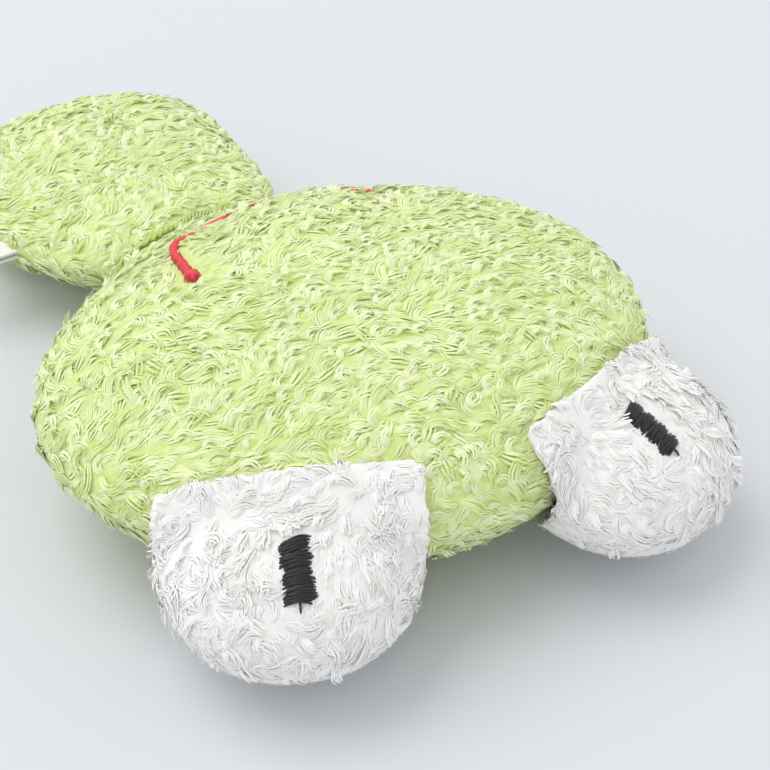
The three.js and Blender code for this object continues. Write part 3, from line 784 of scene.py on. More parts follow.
    def grow(self, name: str, skin: bpy.types.Object, material: bpy.types.Material, seed: int) -> bpy.types.Object:
        """Grow the pile on a skin and make the result a plain mesh.

        Args:
            name: The new piece's name.
            skin: The skin, with its comb and pile_scale attributes. It is used up.
            material: The pile's material.
            seed: Seed of the scatter.

        Returns:
            The piece.
        """
        modifier = skin.modifiers.new("pile", "NODES")
        modifier.node_group = self.tree
        values = {
            "Locks": self.locks,
            "Material": material,
            "Spacing": self.spacing * 1.0,
            "Stray": self.stray,
            "Tilt": self.tilt,
            "Table": TABLE_GAP,
            "Seed": seed,
        }
        apply_values(modifier, values)
        piece = new_object(name, evaluated_mesh(skin))
        discard(skin)
        LOG.info("%s: %d points, %d faces", name, len(piece.data.vertices), len(piece.data.polygons))
        return piece


@dataclass
class StuffedForm:
    """A stuffed form: closed cloth skin over its solids, swollen a little as cloth."""

    name: str
    nodes: tuple[str, ...]
    voxel: float
    inset: float
    swell: float
    margin: float = 0.3 * MM
    thin_share: float = 0.3
    frames: int = 16

    def shell(self) -> bpy.types.Object:
        """Close the form's solids into one outer surface.

        Returns:
            The surface as a new object.
        """
        build = bmesh.new()
        for node in self.nodes:
            build.from_mesh(frame["nodes"][node].data)
        bmesh.ops.remove_doubles(build, verts=build.verts, dist=MM / 1000)
        build.normal_update()
        for vert in build.verts:
            vert.co += vert.normal * self.margin
        mesh = bpy.data.meshes.new(self.name + "_shell")
        build.to_mesh(mesh)
        build.free()
        made = new_object(self.name + "_shell", mesh)
        remesh = made.modifiers.new("remesh", "REMESH")
        remesh.mode = "VOXEL"
        remesh.voxel_size = self.voxel
        bake_modifiers(made)
        keep_largest_island(made)
        return made

    def cut(self, made: bpy.types.Object, place: Vector, outward: Vector) -> None:
        """Cut a surface by a plane and close the cut.

        Args:
            made: The surface.
            place: A point on the plane.
            outward: The side that is cut away.
        """
        build = bmesh.new()
        build.from_mesh(made.data)
        whole = build.verts[:] + build.edges[:] + build.faces[:]
        bmesh.ops.bisect_plane(build, geom=whole, plane_co=place, plane_no=outward, clear_outer=True)
        rim = [edge for edge in build.edges if edge.is_boundary]
        bmesh.ops.triangle_fill(build, edges=rim, use_beauty=True, use_dissolve=False)
        bmesh.ops.recalc_face_normals(build, faces=build.faces)
        build.to_mesh(made.data)
        build.free()

    def draw_in(self, made: bpy.types.Object) -> None:
        """Move the surface inwards by the pile's depth, and less where the form is thin."""
        tree = surface_of(made)
        points, normals = coordinates(made.data), point_normals(made.data)
        for i, normal in enumerate(normals):
            inward = -Vector(normal)
            hit = tree.ray_cast(Vector(points[i]) + inward * self.voxel / 10, inward)
            room = hit[3] if hit[0] is not None else self.inset
            points[i] += np.array(inward) * min(self.inset + self.margin, self.thin_share * room)
        set_coordinates(made.data, points)

    def inflate(self, made: bpy.types.Object, held: np.ndarray) -> None:
        """Blow the skin up as cloth, and cap how far each point may move.

        Args:
            made: The skin.
            held: Share from 0 to 1 by which each point is held in place.
        """
        start = coordinates(made.data)
        group = made.vertex_groups.new(name="held")
        for index in np.flatnonzero(held > 0):
            group.add([int(index)], float(held[index]), "REPLACE")
        modifier = made.modifiers.new("swell", "CLOTH")
        cloth = modifier.settings
        cloth.quality = 5
        cloth.mass = 0.1
        cloth.tension_stiffness = 12
        cloth.compression_stiffness = 12
        cloth.bending_stiffness = 0.3
        cloth.use_pressure = True
        cloth.uniform_pressure_force = 4
        cloth.vertex_group_mass = "held"
        cloth.effector_weights.gravity = 0
        for number in range(1, self.frames + 1):
            bpy.context.scene.frame_set(number)
        moved = evaluated_mesh(made)
        shift = coordinates(moved) - start
        bpy.data.meshes.remove(moved)
        made.modifiers.remove(modifier)
        made.vertex_groups.clear()
        bpy.context.scene.frame_set(1)
        length = np.linalg.norm(shift, axis=1, keepdims=True)
        LOG.info("%s swelled by %.2f mm at most", self.name, length.max() / MM)
        shift *= np.minimum(1, self.swell / np.maximum(length, 1e-9))
        set_coordinates(made.data, start + shift)

    def refine(self, made: bpy.types.Object) -> None:
        """Relax the skin a little and give it one level of subdivision."""
        relax = made.modifiers.new("relax", "SMOOTH")
        relax.factor = 0.5
        relax.iterations = 2
        finer = made.modifiers.new("finer", "SUBSURF")
        finer.levels = 1
        finer.render_levels = 1
        bake_modifiers(made)


def keep_largest_island(obj: bpy.types.Object) -> None:
    """Delete all but the largest connected surface of an object."""
    build = bmesh.new()
    build.from_mesh(obj.data)
    seen: set = set()
    islands = []
    for start in build.verts:
        if start in seen:
            continue
        island, queue = [], [start]
        seen.add(start)
        while queue:
            vert = queue.pop()
            island.append(vert)
            for edge in vert.link_edges:
                other = edge.other_vert(vert)
                if other not in seen:
                    seen.add(other)
                    queue.append(other)
        islands.append(island)
    islands.sort(key=len)
    for island in islands[:-1]:
        bmesh.ops.delete(build, geom=island, context="VERTS")
    build.to_mesh(obj.data)
    build.free()


def set_pile(skin: bpy.types.Object, comb: np.ndarray, scale: np.ndarray) -> None:
    """Store how the pile lies and how long it is at each point of a skin.

    Args:
        skin: The skin.
        comb: Direction that locks lean to, one row for each point.
        scale: Share of the full length of a lock at each point.
    """
    mesh = skin.data
    for title, rows in (("comb", comb), ("outward", point_normals(mesh))):
        rows = np.asarray(rows, dtype=np.float32)
        mesh.attributes.new(title, "FLOAT_VECTOR", "POINT").data.foreach_set("vector", rows.ravel())
    length = mesh.attributes.new("pile_scale", "FLOAT", "POINT")
    length.data.foreach_set("value", scale.astype(np.float32))


def drift(points: np.ndarray, size: float) -> np.ndarray:
    """Smooth random directions that change over a given size.

    Args:
        points: Places, one row each.
        size: Size of a patch with like directions.

    Returns:
        One direction for each place.
    """
    return np.array([noise.noise_vector(Vector(point) / size) for point in points]) * 2


def cover_depth(skin: bpy.types.Object, cover: BVHTree, reach: float) -> np.ndarray:
    """Find how close above each point of a skin a cover lies.

    Args:
        skin: The skin.
        cover: Search tree of the cover.
        reach: Distance beyond which a cover doesn't count.

    Returns:
        Distance for each point, or reach where there is no cover.
    """
    found = []
    for point, normal in zip(coordinates(skin.data), point_normals(skin.data)):
        hit = cover.ray_cast(Vector(point), Vector(normal), reach)
        found.append(hit[3] if hit[0] is not None else reach)
    return np.array(found)


@dataclass(frozen=True)
class Stitch:
    """One stitch: its middle, the way it runs, the cloth's outward direction, its reach and how far it stands up."""

    place: Vector
    way: Vector
    up: Vector
    reach: float
    dome: float


def attribute_values(mesh: bpy.types.Mesh, name: str, width: int = 1) -> np.ndarray:
    """Read a point attribute of a mesh.

    Args:
        mesh: The mesh.
        name: The attribute's name.
        width: 1 for a number and 3 for a vector.

    Returns:
        One value or row for each point.
    """
    flat = np.empty(len(mesh.vertices) * width)
    mesh.attributes[name].data.foreach_get("value" if width == 1 else "vector", flat)
    return flat if width == 1 else flat.reshape(-1, width)


class Embroidery:
    """Geometry Nodes tree that lays a thread at each stitch. The threads are then drawn down onto the cloth."""

    def __init__(self, name: str, thread_radius: float) -> None:
        """Build the tree and the one thread that it repeats.

        Args:
            name: The embroidery's name.
            thread_radius: Radius of the thread.
        """
        self.name = name
        title = name + "_thread"
        self.thread = bpy.data.objects.new(title, self._thread(title, thread_radius))
        self.tree = self._tree()

    def _thread(self, name: str, radius: float, stations: int = 8, sides: int = 5) -> bpy.types.Mesh:
        """Build one straight thread of unit length along X with closed ends."""
        points, profiles, levels, lays = [], [], [], []
        for station in range(stations + 1):
            share = station / stations
            full = math.sin(math.pi * share) ** 0.5 if 0 < share < 1 else 0.0
            for side in range(sides):
                angle = 2 * math.pi * side / sides
                level = radius * (0.6 + 0.4 * full) * math.sin(angle)
                points.append((share - 0.5, radius * (0.6 + 0.4 * full) * math.cos(angle), level))
                profiles.append(full)
                levels.append(level)
                lays.append((side / sides, share))
        faces = []
        for start in range(0, stations * sides, sides):
            for side in range(sides):
                a, b = start + side, start + (side + 1) % sides
                faces.append((a, b, b + sides, a + sides))
        faces += [tuple(reversed(range(sides))), tuple(range(stations * sides, (stations + 1) * sides))]
        mesh = bpy.data.meshes.new(name)
        mesh.from_pydata(points, [], faces)
        for title, values in (("profile", profiles), ("level", levels)):
            mesh.attributes.new(title, "FLOAT", "POINT").data.foreach_set("value", values)
        lay = mesh.uv_layers.new(name="lay")
        for loop in mesh.loops:
            lay.data[loop.index].uv = lays[loop.vertex_index]
        mesh.update()
        return mesh

    def _tree(self) -> bpy.types.NodeTree:
        """Build the tree: a thread on each point, turned and stretched, realized and given its material."""
        inputs = {
            "Geometry": "NodeSocketGeometry",
            "Thread": "NodeSocketObject",
            "Material": "NodeSocketMaterial",
        }
        kit, given, end = node_group(
            "GeometryNodeTree", self.name, inputs, {"Geometry": "NodeSocketGeometry"}
        )
        turn = kit.add("GeometryNodeInputNamedAttribute", {"Name": "turn"}, data_type="FLOAT_VECTOR")
        reach = kit.add("GeometryNodeInputNamedAttribute", {"Name": "reach"}, data_type="FLOAT")
        rotation = kit.add("FunctionNodeEulerToRotation", {0: turn.outputs[0]})
        scale = kit.add("ShaderNodeCombineXYZ", {"X": reach.outputs[0], "Y": 1.0, "Z": 1.0})
        thread = kit.add("GeometryNodeObjectInfo", {"Object": given["Thread"], "As Instance": True})
        laid = kit.add(
            "GeometryNodeInstanceOnPoints",
            {
                "Points": given["Geometry"],
                "Instance": thread.outputs["Geometry"],
                "Rotation": rotation.outputs[0],
                "Scale": scale.outputs[0],
            },
        )
        real = kit.add("GeometryNodeRealizeInstances", {"Geometry": laid.outputs[0]})
        rounded = kit.add("GeometryNodeSetShadeSmooth", {"Geometry": real.outputs[0]})
        dressed = kit.add(
            "GeometryNodeSetMaterial", {"Geometry": rounded.outputs[0], "Material": given["Material"]}
        )
        kit.join(dressed.outputs[0], end.inputs["Geometry"])
        return kit.tree

    def lay(
        self, name: str, stitches: list[Stitch], cloth: BVHTree, material: bpy.types.Material
    ) -> bpy.types.Object:
        """Sew stitches onto a cloth.

        Args:
            name: The new piece's name.
            stitches: The stitches.
            cloth: Search tree of the cloth.
            material: The thread's material.

        Returns:
            The piece.
        """
        mesh = bpy.data.meshes.new(name + "_places")
        mesh.from_pydata([stitch.place for stitch in stitches], [], [])
        turns = [
            Matrix((stitch.way, stitch.up.cross(stitch.way), stitch.up)).transposed().to_euler()
            for stitch in stitches
        ]
        for title, rows in (("turn", turns), ("up", [stitch.up for stitch in stitches])):
            flat = [value for row in rows for value in row]
            mesh.attributes.new(title, "FLOAT_VECTOR", "POINT").data.foreach_set("vector", flat)
        for title in ("reach", "dome"):
            values = [getattr(stitch, title) for stitch in stitches]
            mesh.attributes.new(title, "FLOAT", "POINT").data.foreach_set("value", values)
        places = new_object(name + "_places", mesh)
        modifier = places.modifiers.new("stitches", "NODES")
        modifier.node_group = self.tree
        apply_values(modifier, {"Thread": self.thread, "Material": material})
        piece = new_object(name, evaluated_mesh(places))
        discard(places)
        self._draw_down(piece.data, cloth)
        LOG.info("%s: %d stitches, %d faces", name, len(stitches), len(piece.data.polygons))
        return piece

    def _draw_down(self, mesh: bpy.types.Mesh, cloth: BVHTree, reach: float = 8 * MM) -> None:
        """Move each point along its stitch's upward direction until the stitch rests on the cloth."""
        ups = attribute_values(mesh, "up", 3)
        levels = attribute_values(mesh, "level")
        domes = attribute_values(mesh, "dome") * attribute_values(mesh, "profile")
        points = coordinates(mesh)
        for i, up in enumerate(ups):
            direction = Vector(up)
            flat = Vector(points[i]) - direction * levels[i]
            hit = cloth.ray_cast(flat + direction * reach, -direction, 2 * reach)
            rest = hit[0] if hit[0] is not None else flat
            points[i] = rest + direction * (levels[i] + domes[i])
        set_coordinates(mesh, points)


def curve_points(corners: list[tuple[float, float]], spacing: float) -> list[Vector]:
    """Points at even spacing on a smooth line through given places.

    Args:
        corners: Places x, y that the line passes through.
        spacing: Distance between two points.

    Returns:
        The points, at height zero.
    """
    ends = [corners[0], *corners, corners[-1]]
    fine = []
    for a, b, c, d in zip(ends, ends[1:], ends[2:], ends[3:]):
        for step in range(16):
            t = step / 16
            weights = (-t + 2 * t**2 - t**3, 2 - 5 * t**2 + 3 * t**3, t + 4 * t**2 - 3 * t**3, t**3 - t**2)
            fine.append(sum((Vector((*place, 0)) * w / 2 for place, w in zip((a, b, c, d), weights)), Vector((0, 0, 0))))
    fine.append(Vector((*corners[-1], 0)))
    chosen, left = [fine[0]], spacing
    for before, after in zip(fine, fine[1:]):
        length = (after - before).length
        gone = 0.0
        while length - gone >= left:
            gone += left
            chosen.append(before.lerp(after, gone / length))
            left = spacing
        left -= length - gone
    return chosen


class Neck:
    """Where the soft neck is drawn in, read from the frame's joints."""

    def __init__(self, soft_length: float = 11 * MM) -> None:
        """Read the neck's place from its joints.

        Args:
            soft_length: Length over which the cloth bends on each side.
        """
        nod = joint_named("neck_nod")
        axis = Vector(nod["axis"])
        self.pivot = Vector(nod["pos_m"])
        self.along = Vector((-axis.y, axis.x, 0)).normalized()
        self.soft_length = soft_length

    def distance(self, points: np.ndarray) -> np.ndarray:
        """How far points lie from the middle of the neck, towards the body."""
        return (points - np.array(self.pivot)) @ np.array(self.along)


@dataclass
class EyePad:
    """A stuffed eye pad with its embroidered pupil."""

    side: str
    body: BodyName
    finishes: Finishes
    pile: Pile
    embroidery: Embroidery
    seed: int
    soft_length: float = 14 * MM
    soft_tilt: float = math.radians(30)
    droop: float = math.radians(14)
    pupil_pitch: float = 0.3 * MM
    pupil_height: float = 0.85 * MM
    pupil_clumps: int = 4

    def __post_init__(self) -> None:
        """Read the pad's place from its joint."""
        lift = joint_named(f"eye_{self.side}_lift")
        axis = Vector(lift["axis"])
        self.axis = axis
        self.seam = Vector(lift["pos_m"])
        self.outward = Vector((axis.y, -axis.x, 0)).normalized()
        self.nodes = tuple(f"eye_{self.side}_{part}" for part in ("front_panel", "back_panel", "filling"))
        self.form = StuffedForm(
            f"eye_{self.side}_plush", self.nodes, voxel=0.9 * MM, inset=0.9 * MM, swell=0.5 * MM, frames=12
        )

    def build(self) -> bpy.types.Object:
        """Make the pad and its pupil.

        Returns:
            The pad.
        """
        skin = self.form.shell()
        self.form.draw_in(skin)
        self.form.refine(skin)
        self.cover = surface_of(skin)
        points, normals = coordinates(skin.data), point_normals(skin.data)
        under_pupil = cover_depth(skin, surface_of(frame["nodes"][f"pupil_{self.side}"]), 4 * MM) < 4 * MM
        back = normals[:, 2] < -0.2
        beside = np.array([np.linalg.norm(points[under_pupil] - point, axis=1).min() < 3 * MM for point in points])
        scale = np.where(under_pupil, 0.0, np.where(beside, 0.4, np.where(back, 0.35, 1.0)))
        beyond = (points - np.array(self.seam)) @ np.array(self.outward)
        along = np.clip(beyond / (7 * MM), 0, 1)[:, None]
        comb = np.array(self.outward) * (1.5 * along - 0.5) + (1.1 - 0.4 * along) * drift(points, 7 * MM)
        scale = np.where(beyond < 2 * MM, np.minimum(scale, 0.7), scale)
        set_pile(skin, comb, scale)
        pad = self.pile.grow(self.form.name, skin, self.finishes.white, self.seed)
        self._swing(pad)
        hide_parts(*self.nodes)
        pupil = self.embroidery.lay(f"pupil_{self.side}_stitches", self._pupil(), self.cover, self.finishes.black)
        self._swing(pupil)
        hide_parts(f"pupil_{self.side}")
        return pad

    def _swing(self, piece: bpy.types.Object) -> None:
        """Bake the piece's placement into its mesh."""
        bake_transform(piece)

    def _pupil(self) -> list[Stitch]:
        """Satin stitches of the pupil: short rows in clumps with ragged ends, and one loose tail."""
        inward = -self.outward * math.cos(self.droop) + Vector((0, 0, math.sin(self.droop)))
        up = self.axis.cross(inward)
        corners = coordinates(frame["nodes"][f"pupil_{self.side}"].data)
        across, along = corners @ np.array(self.axis), corners @ np.array(inward)
        width, length = np.ptp(across), np.ptp(along)
        middle = (
            self.axis * (across.min() + width / 2)
            + inward * (along.min() + length / 2)
            + up * float((corners @ np.array(up)).mean())
        )
        chance = random.Random(self.seed)
        count = round(length / self.pupil_pitch)
        stitches = []
        for layer, height in ((0, 0.6), (1, 1.0)):
            for i in range(count):
                clump, part = divmod((i + 0.5 * layer) / count * self.pupil_clumps, 1)
                share = (clump + 0.5 + (part - 0.5) * 0.9) / self.pupil_clumps
                full = 0.82 + 0.18 * math.sin(math.pi * part) ** 0.6
                reach = width * (full + chance.uniform(-0.1, 0.12))
                lean = math.radians(12 * (1 - share) + chance.uniform(-8, 8))
                place = middle + self.axis * width * chance.uniform(-0.06, 0.06) + inward * length * (0.5 - share)
                way = self.axis * math.cos(lean) + inward * math.sin(lean)
                stitches.append(Stitch(place, way, up, reach, self.pupil_height * height * full))
        tail = middle - inward * (length / 2 + self.pupil_pitch)
        stitches.append(Stitch(tail, inward, up, 1.8 * MM, 0.4 * MM))
        return stitches


@dataclass
class Head:
    """The stuffed head."""

    neck: Neck
    finishes: Finishes
    pile: Pile
    embroidery: Embroidery
    covers: tuple[BVHTree, ...]
    mouth_pitch: float = 0.3 * MM
    mouth_width: float = 1.8 * MM
    mouth_height: float = 1.0 * MM
    mouth_shown: float = 16 * MM
    mouth_line: tuple[tuple[float, float], ...] = (
        (-21.1, 8.4), (-20.7, 13.8), (-20.0, 19.6), (-18.3, 23.1), (-14.4, 25.5), (-9.4, 27.5), (-4.2, 29.0),
        (1.1, 30.2), (6.4, 31.0), (10.9, 31.0), (14.2, 28.8), (17.7, 24.1), (20.7, 19.6),
    )

    def __post_init__(self) -> None:
        """Set the form's sizes."""
        own = ("head_front_panel", "head_back_panel", "head_front_filling", "head_back_filling")
        self.stands_for = (*own, "neck_sleeve")
        self.form = StuffedForm(
            "head_plush", (*own, "neck_sleeve", "neck_filling"), voxel=2.2 * MM, inset=1.0 * MM, swell=0.6 * MM
        )

    def build(self) -> bpy.types.Object:
        """Make the head.

        Returns:
            The head.
        """
        neck = self.neck
        skin = self.form.shell()
        self.form.cut(skin, neck.pivot, neck.along)
        self.form.draw_in(skin)
        held = np.clip(1 + neck.distance(coordinates(skin.data)) / neck.soft_length, 0, 1)
        self.form.inflate(skin, held)
        self.form.refine(skin)
        cloth = self.cloth = surface_of(skin)
        points = coordinates(skin.data)
        scale = np.where(neck.distance(points) > 0.3 * MM, 0.0, 1.0)
        for cover in self.covers:
            scale = np.where(cover_depth(skin, cover, 5 * MM) < 5 * MM, np.minimum(scale, 0.35), scale)
        stitches = self._mouth(cloth)
        bare = np.array([stitch.place for stitch in stitches[: round(self.mouth_shown / self.mouth_pitch)]])
        near = np.array([np.linalg.norm(bare - point, axis=1).min() for point in points])
        scale = np.where(near < 1.2 * MM, 0.0, np.where(near < 2.6 * MM, 0.4, scale))
        set_pile(skin, np.array((1.0, 0.0, 0.0)) + 0.7 * drift(points, 11 * MM), scale)
        head = self.pile.grow(self.form.name, skin, self.finishes.green, 11)
        mouth = self.embroidery.lay("mouth_stitches", stitches, cloth, self.finishes.red)
        for piece in (head, mouth):
            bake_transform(piece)
        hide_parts("mouth_embroidery")
        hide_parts(*self.stands_for)
        return head

    def _mouth(self, cloth: BVHTree) -> list[Stitch]:
        """Stitches across the mouth's line, sunk into the pile past its corner, and a knot at its left end."""
        line = curve_points([(x * MM, y * MM) for x, y in self.mouth_line], self.mouth_pitch)
        chance = random.Random(3)
        stitches = []
        for i, point in enumerate(line):
            hit = cloth.ray_cast(point + Vector((0, 0, 60 * MM)), Vector((0, 0, -1)))
            tangent = (line[min(i + 1, len(line) - 1)] - line[max(i - 1, 0)]).normalized()
            way = hit[1].cross(tangent).normalized()
            gone = i * self.mouth_pitch
            sunk = min(1, max(0, (gone - self.mouth_shown) / (3 * MM)))
            reach = self.mouth_width * (1 - 0.15 * sunk + chance.uniform(-0.1, 0.1))
            turned = (way + tangent * chance.uniform(-0.2, 0.2)).normalized()
            turned = (turned - hit[1] * turned.dot(hit[1])).normalized()
            place = hit[0] + way * chance.uniform(-0.12, 0.12) * MM
            stitches.append(Stitch(place, turned, hit[1], reach, self.mouth_height * (1 - 0.75 * sunk)))
        start = stitches[2]
        for number in range(16):
            angle = math.pi * number / 16 * 3
            across = start.up.cross(start.way)
            way = start.way * math.cos(angle) + across * math.sin(angle)
            place = start.place + (start.way * chance.uniform(-1, 1) + across * chance.uniform(-1, 1)) * 0.3 * MM
            stitches.append(Stitch(place, way, start.up, 2.7 * MM, 1.3 * MM))
        return stitches


@dataclass
class Body:
    """The stuffed body."""

    neck: Neck
    finishes: Finishes
    pile: Pile
    embroidery: Embroidery
    closing_start: float = 24 * MM
    closing_length: float = 22 * MM
    closing_pitch: float = 2.2 * MM
    closing_reach: float = 2.8 * MM

    def __post_init__(self) -> None:
        """Set the form's sizes."""
        own = ("body_front_panel", "body_back_panel", "body_filling")
        self.stands_for = (*own, "neck_filling")
        self.form = StuffedForm(
            "body_plush", (*own, "neck_sleeve", "neck_filling"), voxel=2.2 * MM, inset=1.0 * MM, swell=0.6 * MM
        )

    def build(self) -> bpy.types.Object:
        """Make the body.

        Returns:
            The body.
        """
        neck = self.neck
        skin = self.form.shell()
        self.form.cut(skin, neck.pivot, -neck.along)
        self.form.draw_in(skin)
        held = np.clip(1 - neck.distance(coordinates(skin.data)) / neck.soft_length, 0, 1)
        self.form.inflate(skin, held)
        self.form.refine(skin)
        cloth = self.cloth = surface_of(skin)
        points = coordinates(skin.data)
        scale = np.where(neck.distance(points) < -0.3 * MM, 0.0, 1.0)
        set_pile(skin, np.array((1.0, 0.0, 0.0)) + 0.7 * drift(points, 11 * MM), scale)
        body = self.pile.grow(self.form.name, skin, self.finishes.green, 23)
        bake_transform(body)
        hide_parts(*self.stands_for)
        closing = self.embroidery.lay("closing_stitches", self._closing(cloth), cloth, self.finishes.green_thread)
        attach(closing, BodyName.TORSO.value)
        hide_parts("closing_thread")
        return body

    def _closing(self, cloth: BVHTree) -> list[Stitch]:
        """Ladder stitches across the side seam that was left open for stuffing."""
        neck = self.neck
        sideways = Vector((neck.along.y, -neck.along.x, 0))
        low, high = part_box("closing_thread")
        stitches = []
        for number in range(round(self.closing_length / self.closing_pitch) + 1):
            inside = neck.pivot + neck.along * (self.closing_start + number * self.closing_pitch)
            inside.z = (low[2] + high[2]) / 2
            hit = cloth.ray_cast(inside, sideways)
            rise = Vector((0, 0, 1))
            way = (rise - hit[1] * rise.dot(hit[1]) + neck.along * 0.2).normalized()
            way = (way - hit[1] * way.dot(hit[1])).normalized()
            stitches.append(Stitch(hit[0], way, hit[1], self.closing_reach, 0.6 * MM))
        return stitches


@dataclass
class GatherThread:
    """Two twisted plies drawn tight round the neck."""

    neck: Neck
    material: bpy.types.Material
    cloths: tuple[BVHTree, ...]
    ply_radius: float = 0.34 * MM
    steps: int = 240
    sides: int = 6
    twists: int = 30
    beside: float = 1.5 * MM

    def build(self) -> bpy.types.Object:
        """Make the thread.

        Returns:
            The thread.
        """
        loop = self._loop()
        points, faces, lays = [], [], []
        for ply in range(2):
            first = len(points)
            for i, (centre, outward) in enumerate(loop):
                twist = 2 * math.pi * self.twists * i / self.steps + math.pi * ply
                middle = centre + (outward * math.cos(twist) + self.neck.along * math.sin(twist)) * self.ply_radius
                for side in range(self.sides):
                    angle = 2 * math.pi * side / self.sides
                    points.append(
                        middle + (outward * math.cos(angle) + self.neck.along * math.sin(angle)) * self.ply_radius
                    )
                    lays.append((side / self.sides, i / 4))
            for i in range(self.steps):
                for side in range(self.sides):
                    near, far = first + i * self.sides, first + (i + 1) % self.steps * self.sides
                    beyond = (side + 1) % self.sides
                    faces.append((near + side, near + beyond, far + beyond, far + side))
        mesh = bpy.data.meshes.new("gather_thread")
        mesh.from_pydata(points, [], faces)
        lay = mesh.uv_layers.new(name="lay")
        for corner in mesh.loops:
            lay.data[corner.index].uv = lays[corner.vertex_index]
        mesh.shade_smooth()
        mesh.materials.append(self.material)
        thread = new_object("gather_thread", mesh)
        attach(thread, BodyName.NECK.value)
        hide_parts("neck_gather_thread")
        LOG.info("gather_thread: %d faces", len(mesh.polygons))
        return thread

    def _loop(self) -> list[tuple[Vector, Vector]]:
        """Middle line of the thread, on the cloth all round the neck, and its outward directions."""
        sideways = Vector((self.neck.along.y, -self.neck.along.x, 0))
        outwards, reaches = [], []
        for i in range(self.steps):
            angle = -2 * math.pi * i / self.steps
            outwards.append(sideways * math.cos(angle) + Vector((0, 0, math.sin(angle))))
            found = []
            for cloth in self.cloths:
                for shift in (-self.beside, self.beside):
                    hit = cloth.ray_cast(self.neck.pivot + self.neck.along * shift, outwards[-1])
                    if hit[0] is not None:
                        found.append(hit[3])
            reaches.append(max(found, default=reaches[-1] if reaches else 0.0))
        near = range(-4, 5)
        even = [sum(reaches[(i + k) % self.steps] for k in near) / len(near) for i in range(self.steps)]
        return [(self.neck.pivot + out * reach, out) for out, reach in zip(outwards, even)]


@dataclass
class Studio:
    """Camera, pale floor and soft light."""

    azimuth: float = math.radians(-27.9)
    elevation: float = math.radians(39.0)
    roll: float = math.radians(-0.1)
    distance: float = 298.5 * MM
    target: tuple[float, float, float] = (2.2 * MM, -14.8 * MM, 20 * MM)
    lens: float = 84.156
    floor_colour: tuple = linear(217, 220, 225)
    floor_half_size: float = 3.0

    def build(self) -> None:
        """Set the stage."""
        scene = bpy.context.scene
        scene.view_settings.view_transform = "Standard"
        self._camera()
        self._floor()
        self._light("key", (-0.9, 1.2, 2.6), 2.4, 38.0)
        world = bpy.data.worlds.new("studio")
        world.use_nodes = True
        world.node_tree.nodes["Background"].inputs["Color"].default_value = linear(255, 255, 255)
        world.node_tree.nodes["Background"].inputs["Strength"].default_value = 0.84
        scene.world = world

    def _camera(self) -> None:
        """Place the camera as in the photograph."""
        az, el = self.azimuth, self.elevation
        back = Vector((math.sin(az) * math.cos(el), -math.cos(az) * math.cos(el), math.sin(el)))
        right = Vector((math.cos(az), math.sin(az), 0))
        right.rotate(Matrix.Rotation(self.roll, 3, back))
        up = back.cross(right)
        camera = bpy.data.cameras.new("camera")
        camera.lens = self.lens
        camera.sensor_width = 36
        camera.clip_start = 0.01
        holder = bpy.data.objects.new("camera", camera)
        turn = Matrix((right, up, back)).transposed()
        holder.matrix_world = Matrix.Translation(Vector(self.target) + back * self.distance) @ turn.to_4x4()
        bpy.context.scene.collection.objects.link(holder)
        bpy.context.scene.camera = holder

    def _floor(self) -> None:
        """Lay the floor."""
        half = self.floor_half_size
        mesh = bpy.data.meshes.new("floor")
        mesh.from_pydata([(-half, -half, 0), (half, -half, 0), (half, half, 0), (-half, half, 0)], [], [(0, 1, 2, 3)])
        floor = new_object("floor", mesh)
        material, _, shader = start_material("floor", self.floor_colour)
        shader.inputs["Base Color"].default_value = self.floor_colour
        shader.inputs["Roughness"].default_value = 0.9
        shader.inputs["Specular IOR Level"].default_value = 0.0
        mesh.materials.append(material)

    def _light(self, name: str, place: tuple[float, float, float], size: float, power: float) -> None:
        """Hang a soft lamp that faces the object.

        Args:
            name: The lamp's name.
            place: Where it hangs.
            size: Side of its square face.
            power: Its power in watts.
        """
        lamp = bpy.data.lights.new(name, "AREA")
        lamp.size = size
        lamp.energy = power
        holder = bpy.data.objects.new(name, lamp)
        holder.location = place
        holder.rotation_euler = Vector(place).to_track_quat("Z", "Y").to_euler()
        bpy.context.scene.collection.objects.link(holder)


def green_locks() -> list[LockShape]:
    """Shapes of the green pile's locks."""
    turn = math.radians
    return [
        LockShape(6.4 * MM, 2.0 * MM, 0.3 * MM, turn(78), turn(101), 0.5, 0.4, 9, 0.28 * MM, fray=0.5),
        LockShape(5.8 * MM, 1.9 * MM, 0.3 * MM, turn(76), turn(102), -0.5, 0.5, 9, 0.28 * MM, fray=0.5),
        LockShape(7.2 * MM, 1.9 * MM, 0.27 * MM, turn(79), turn(100), 0.2, 0.7, 9, 0.28 * MM, fray=0.5),
        LockShape(6.6 * MM, 1.8 * MM, 0.27 * MM, turn(78), turn(101), -0.3, -0.7, 9, 0.28 * MM, fray=0.5),
        LockShape(5.2 * MM, 1.9 * MM, 0.3 * MM, turn(74), turn(103), 0.8, 0.2, 9, 0.28 * MM, fray=0.5),
        LockShape(4.4 * MM, 1.6 * MM, 0.3 * MM, turn(60), turn(99), -0.6, 0.4, 9, 0.26 * MM, fray=0.6),
    ]


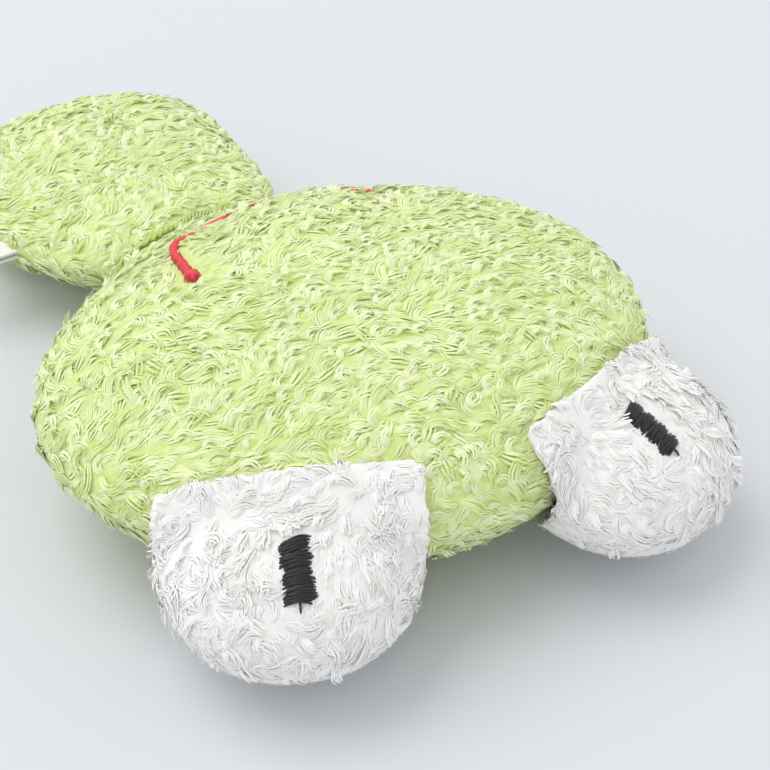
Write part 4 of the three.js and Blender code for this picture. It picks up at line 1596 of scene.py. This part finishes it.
def white_locks() -> list[LockShape]:
    """Shapes of the white pile's softer locks."""
    turn = math.radians
    return [
        LockShape(5.6 * MM, 1.9 * MM, 0.2 * MM, turn(77), turn(99), 0.4, 0.2, 9, 0.24 * MM, fray=0.55),
        LockShape(5.0 * MM, 1.7 * MM, 0.2 * MM, turn(76), turn(100), -0.5, 0.3, 9, 0.24 * MM, fray=0.55),
        LockShape(6.2 * MM, 1.8 * MM, 0.18 * MM, turn(78), turn(99), 0.1, -0.5, 9, 0.24 * MM, fray=0.55),
        LockShape(4.2 * MM, 1.4 * MM, 0.18 * MM, turn(66), turn(100), 0.6, -0.3, 8, 0.24 * MM, fray=0.6),
    ]


@dataclass
class SideLabel:
    """The folded tape in the body's side seam, with its root inside the seam."""

    material: bpy.types.Material
    held: float = 4.5 * MM

    def build(self) -> bpy.types.Object:
        """Make the label from the frame's solid.

        Returns:
            The label.
        """
        mesh = frame["nodes"]["side_label"].data.copy()
        points = coordinates(mesh)
        root = points[:, 0].max()
        points[points[:, 0] > root - 0.1 * MM, 0] += self.held
        mesh.vertices.foreach_set("co", points.ravel())
        mesh.materials.clear()
        mesh.materials.append(self.material)
        label = new_object("side_label_tape", mesh)
        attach(label, BodyName.TORSO.value)
        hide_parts("side_label")
        return label


def dress(node: str, material: bpy.types.Material) -> None:
    """Give a solid of the frame its material.

    Args:
        node: The solid's name.
        material: Its material.
    """
    mesh = frame["nodes"][node].data
    mesh.materials.clear()
    mesh.materials.append(material)


def main() -> None:
    """Build every piece in order."""
    logging.basicConfig(level=logging.INFO, format="%(message)s")
    finishes = Finishes()
    Studio().build()
    neck = Neck()
    green = Pile("green_pile", green_locks(), spacing=1.3 * MM, stray=0.8, tilt=0.04)
    white = Pile("white_pile", white_locks(), spacing=1.08 * MM, stray=0.7, tilt=0.03)
    satin = Embroidery("satin_stitch", 0.19 * MM)
    ladder = Embroidery("ladder_stitch", 0.3 * MM)
    eyes = [
        EyePad("left", BodyName.EYE_LEFT, finishes, white, satin, seed=5),
        EyePad("right", BodyName.EYE_RIGHT, finishes, white, satin, seed=6),
    ]
    for eye in eyes:
        eye.build()
    head = Head(neck, finishes, green, satin, tuple(eye.cover for eye in eyes))
    head.build()
    body = Body(neck, finishes, green, ladder)
    body.build()
    GatherThread(neck, finishes.green_thread, (head.cloth, body.cloth)).build()
    SideLabel(finishes.tape).build()
    for half in ("upper", "lower"):
        dress(f"rattle_capsule_{half}", finishes.capsule)
    for number in range(1, 6):
        dress(f"rattle_bead_{number}", finishes.bead)


if __name__ == "__main__":
    main()
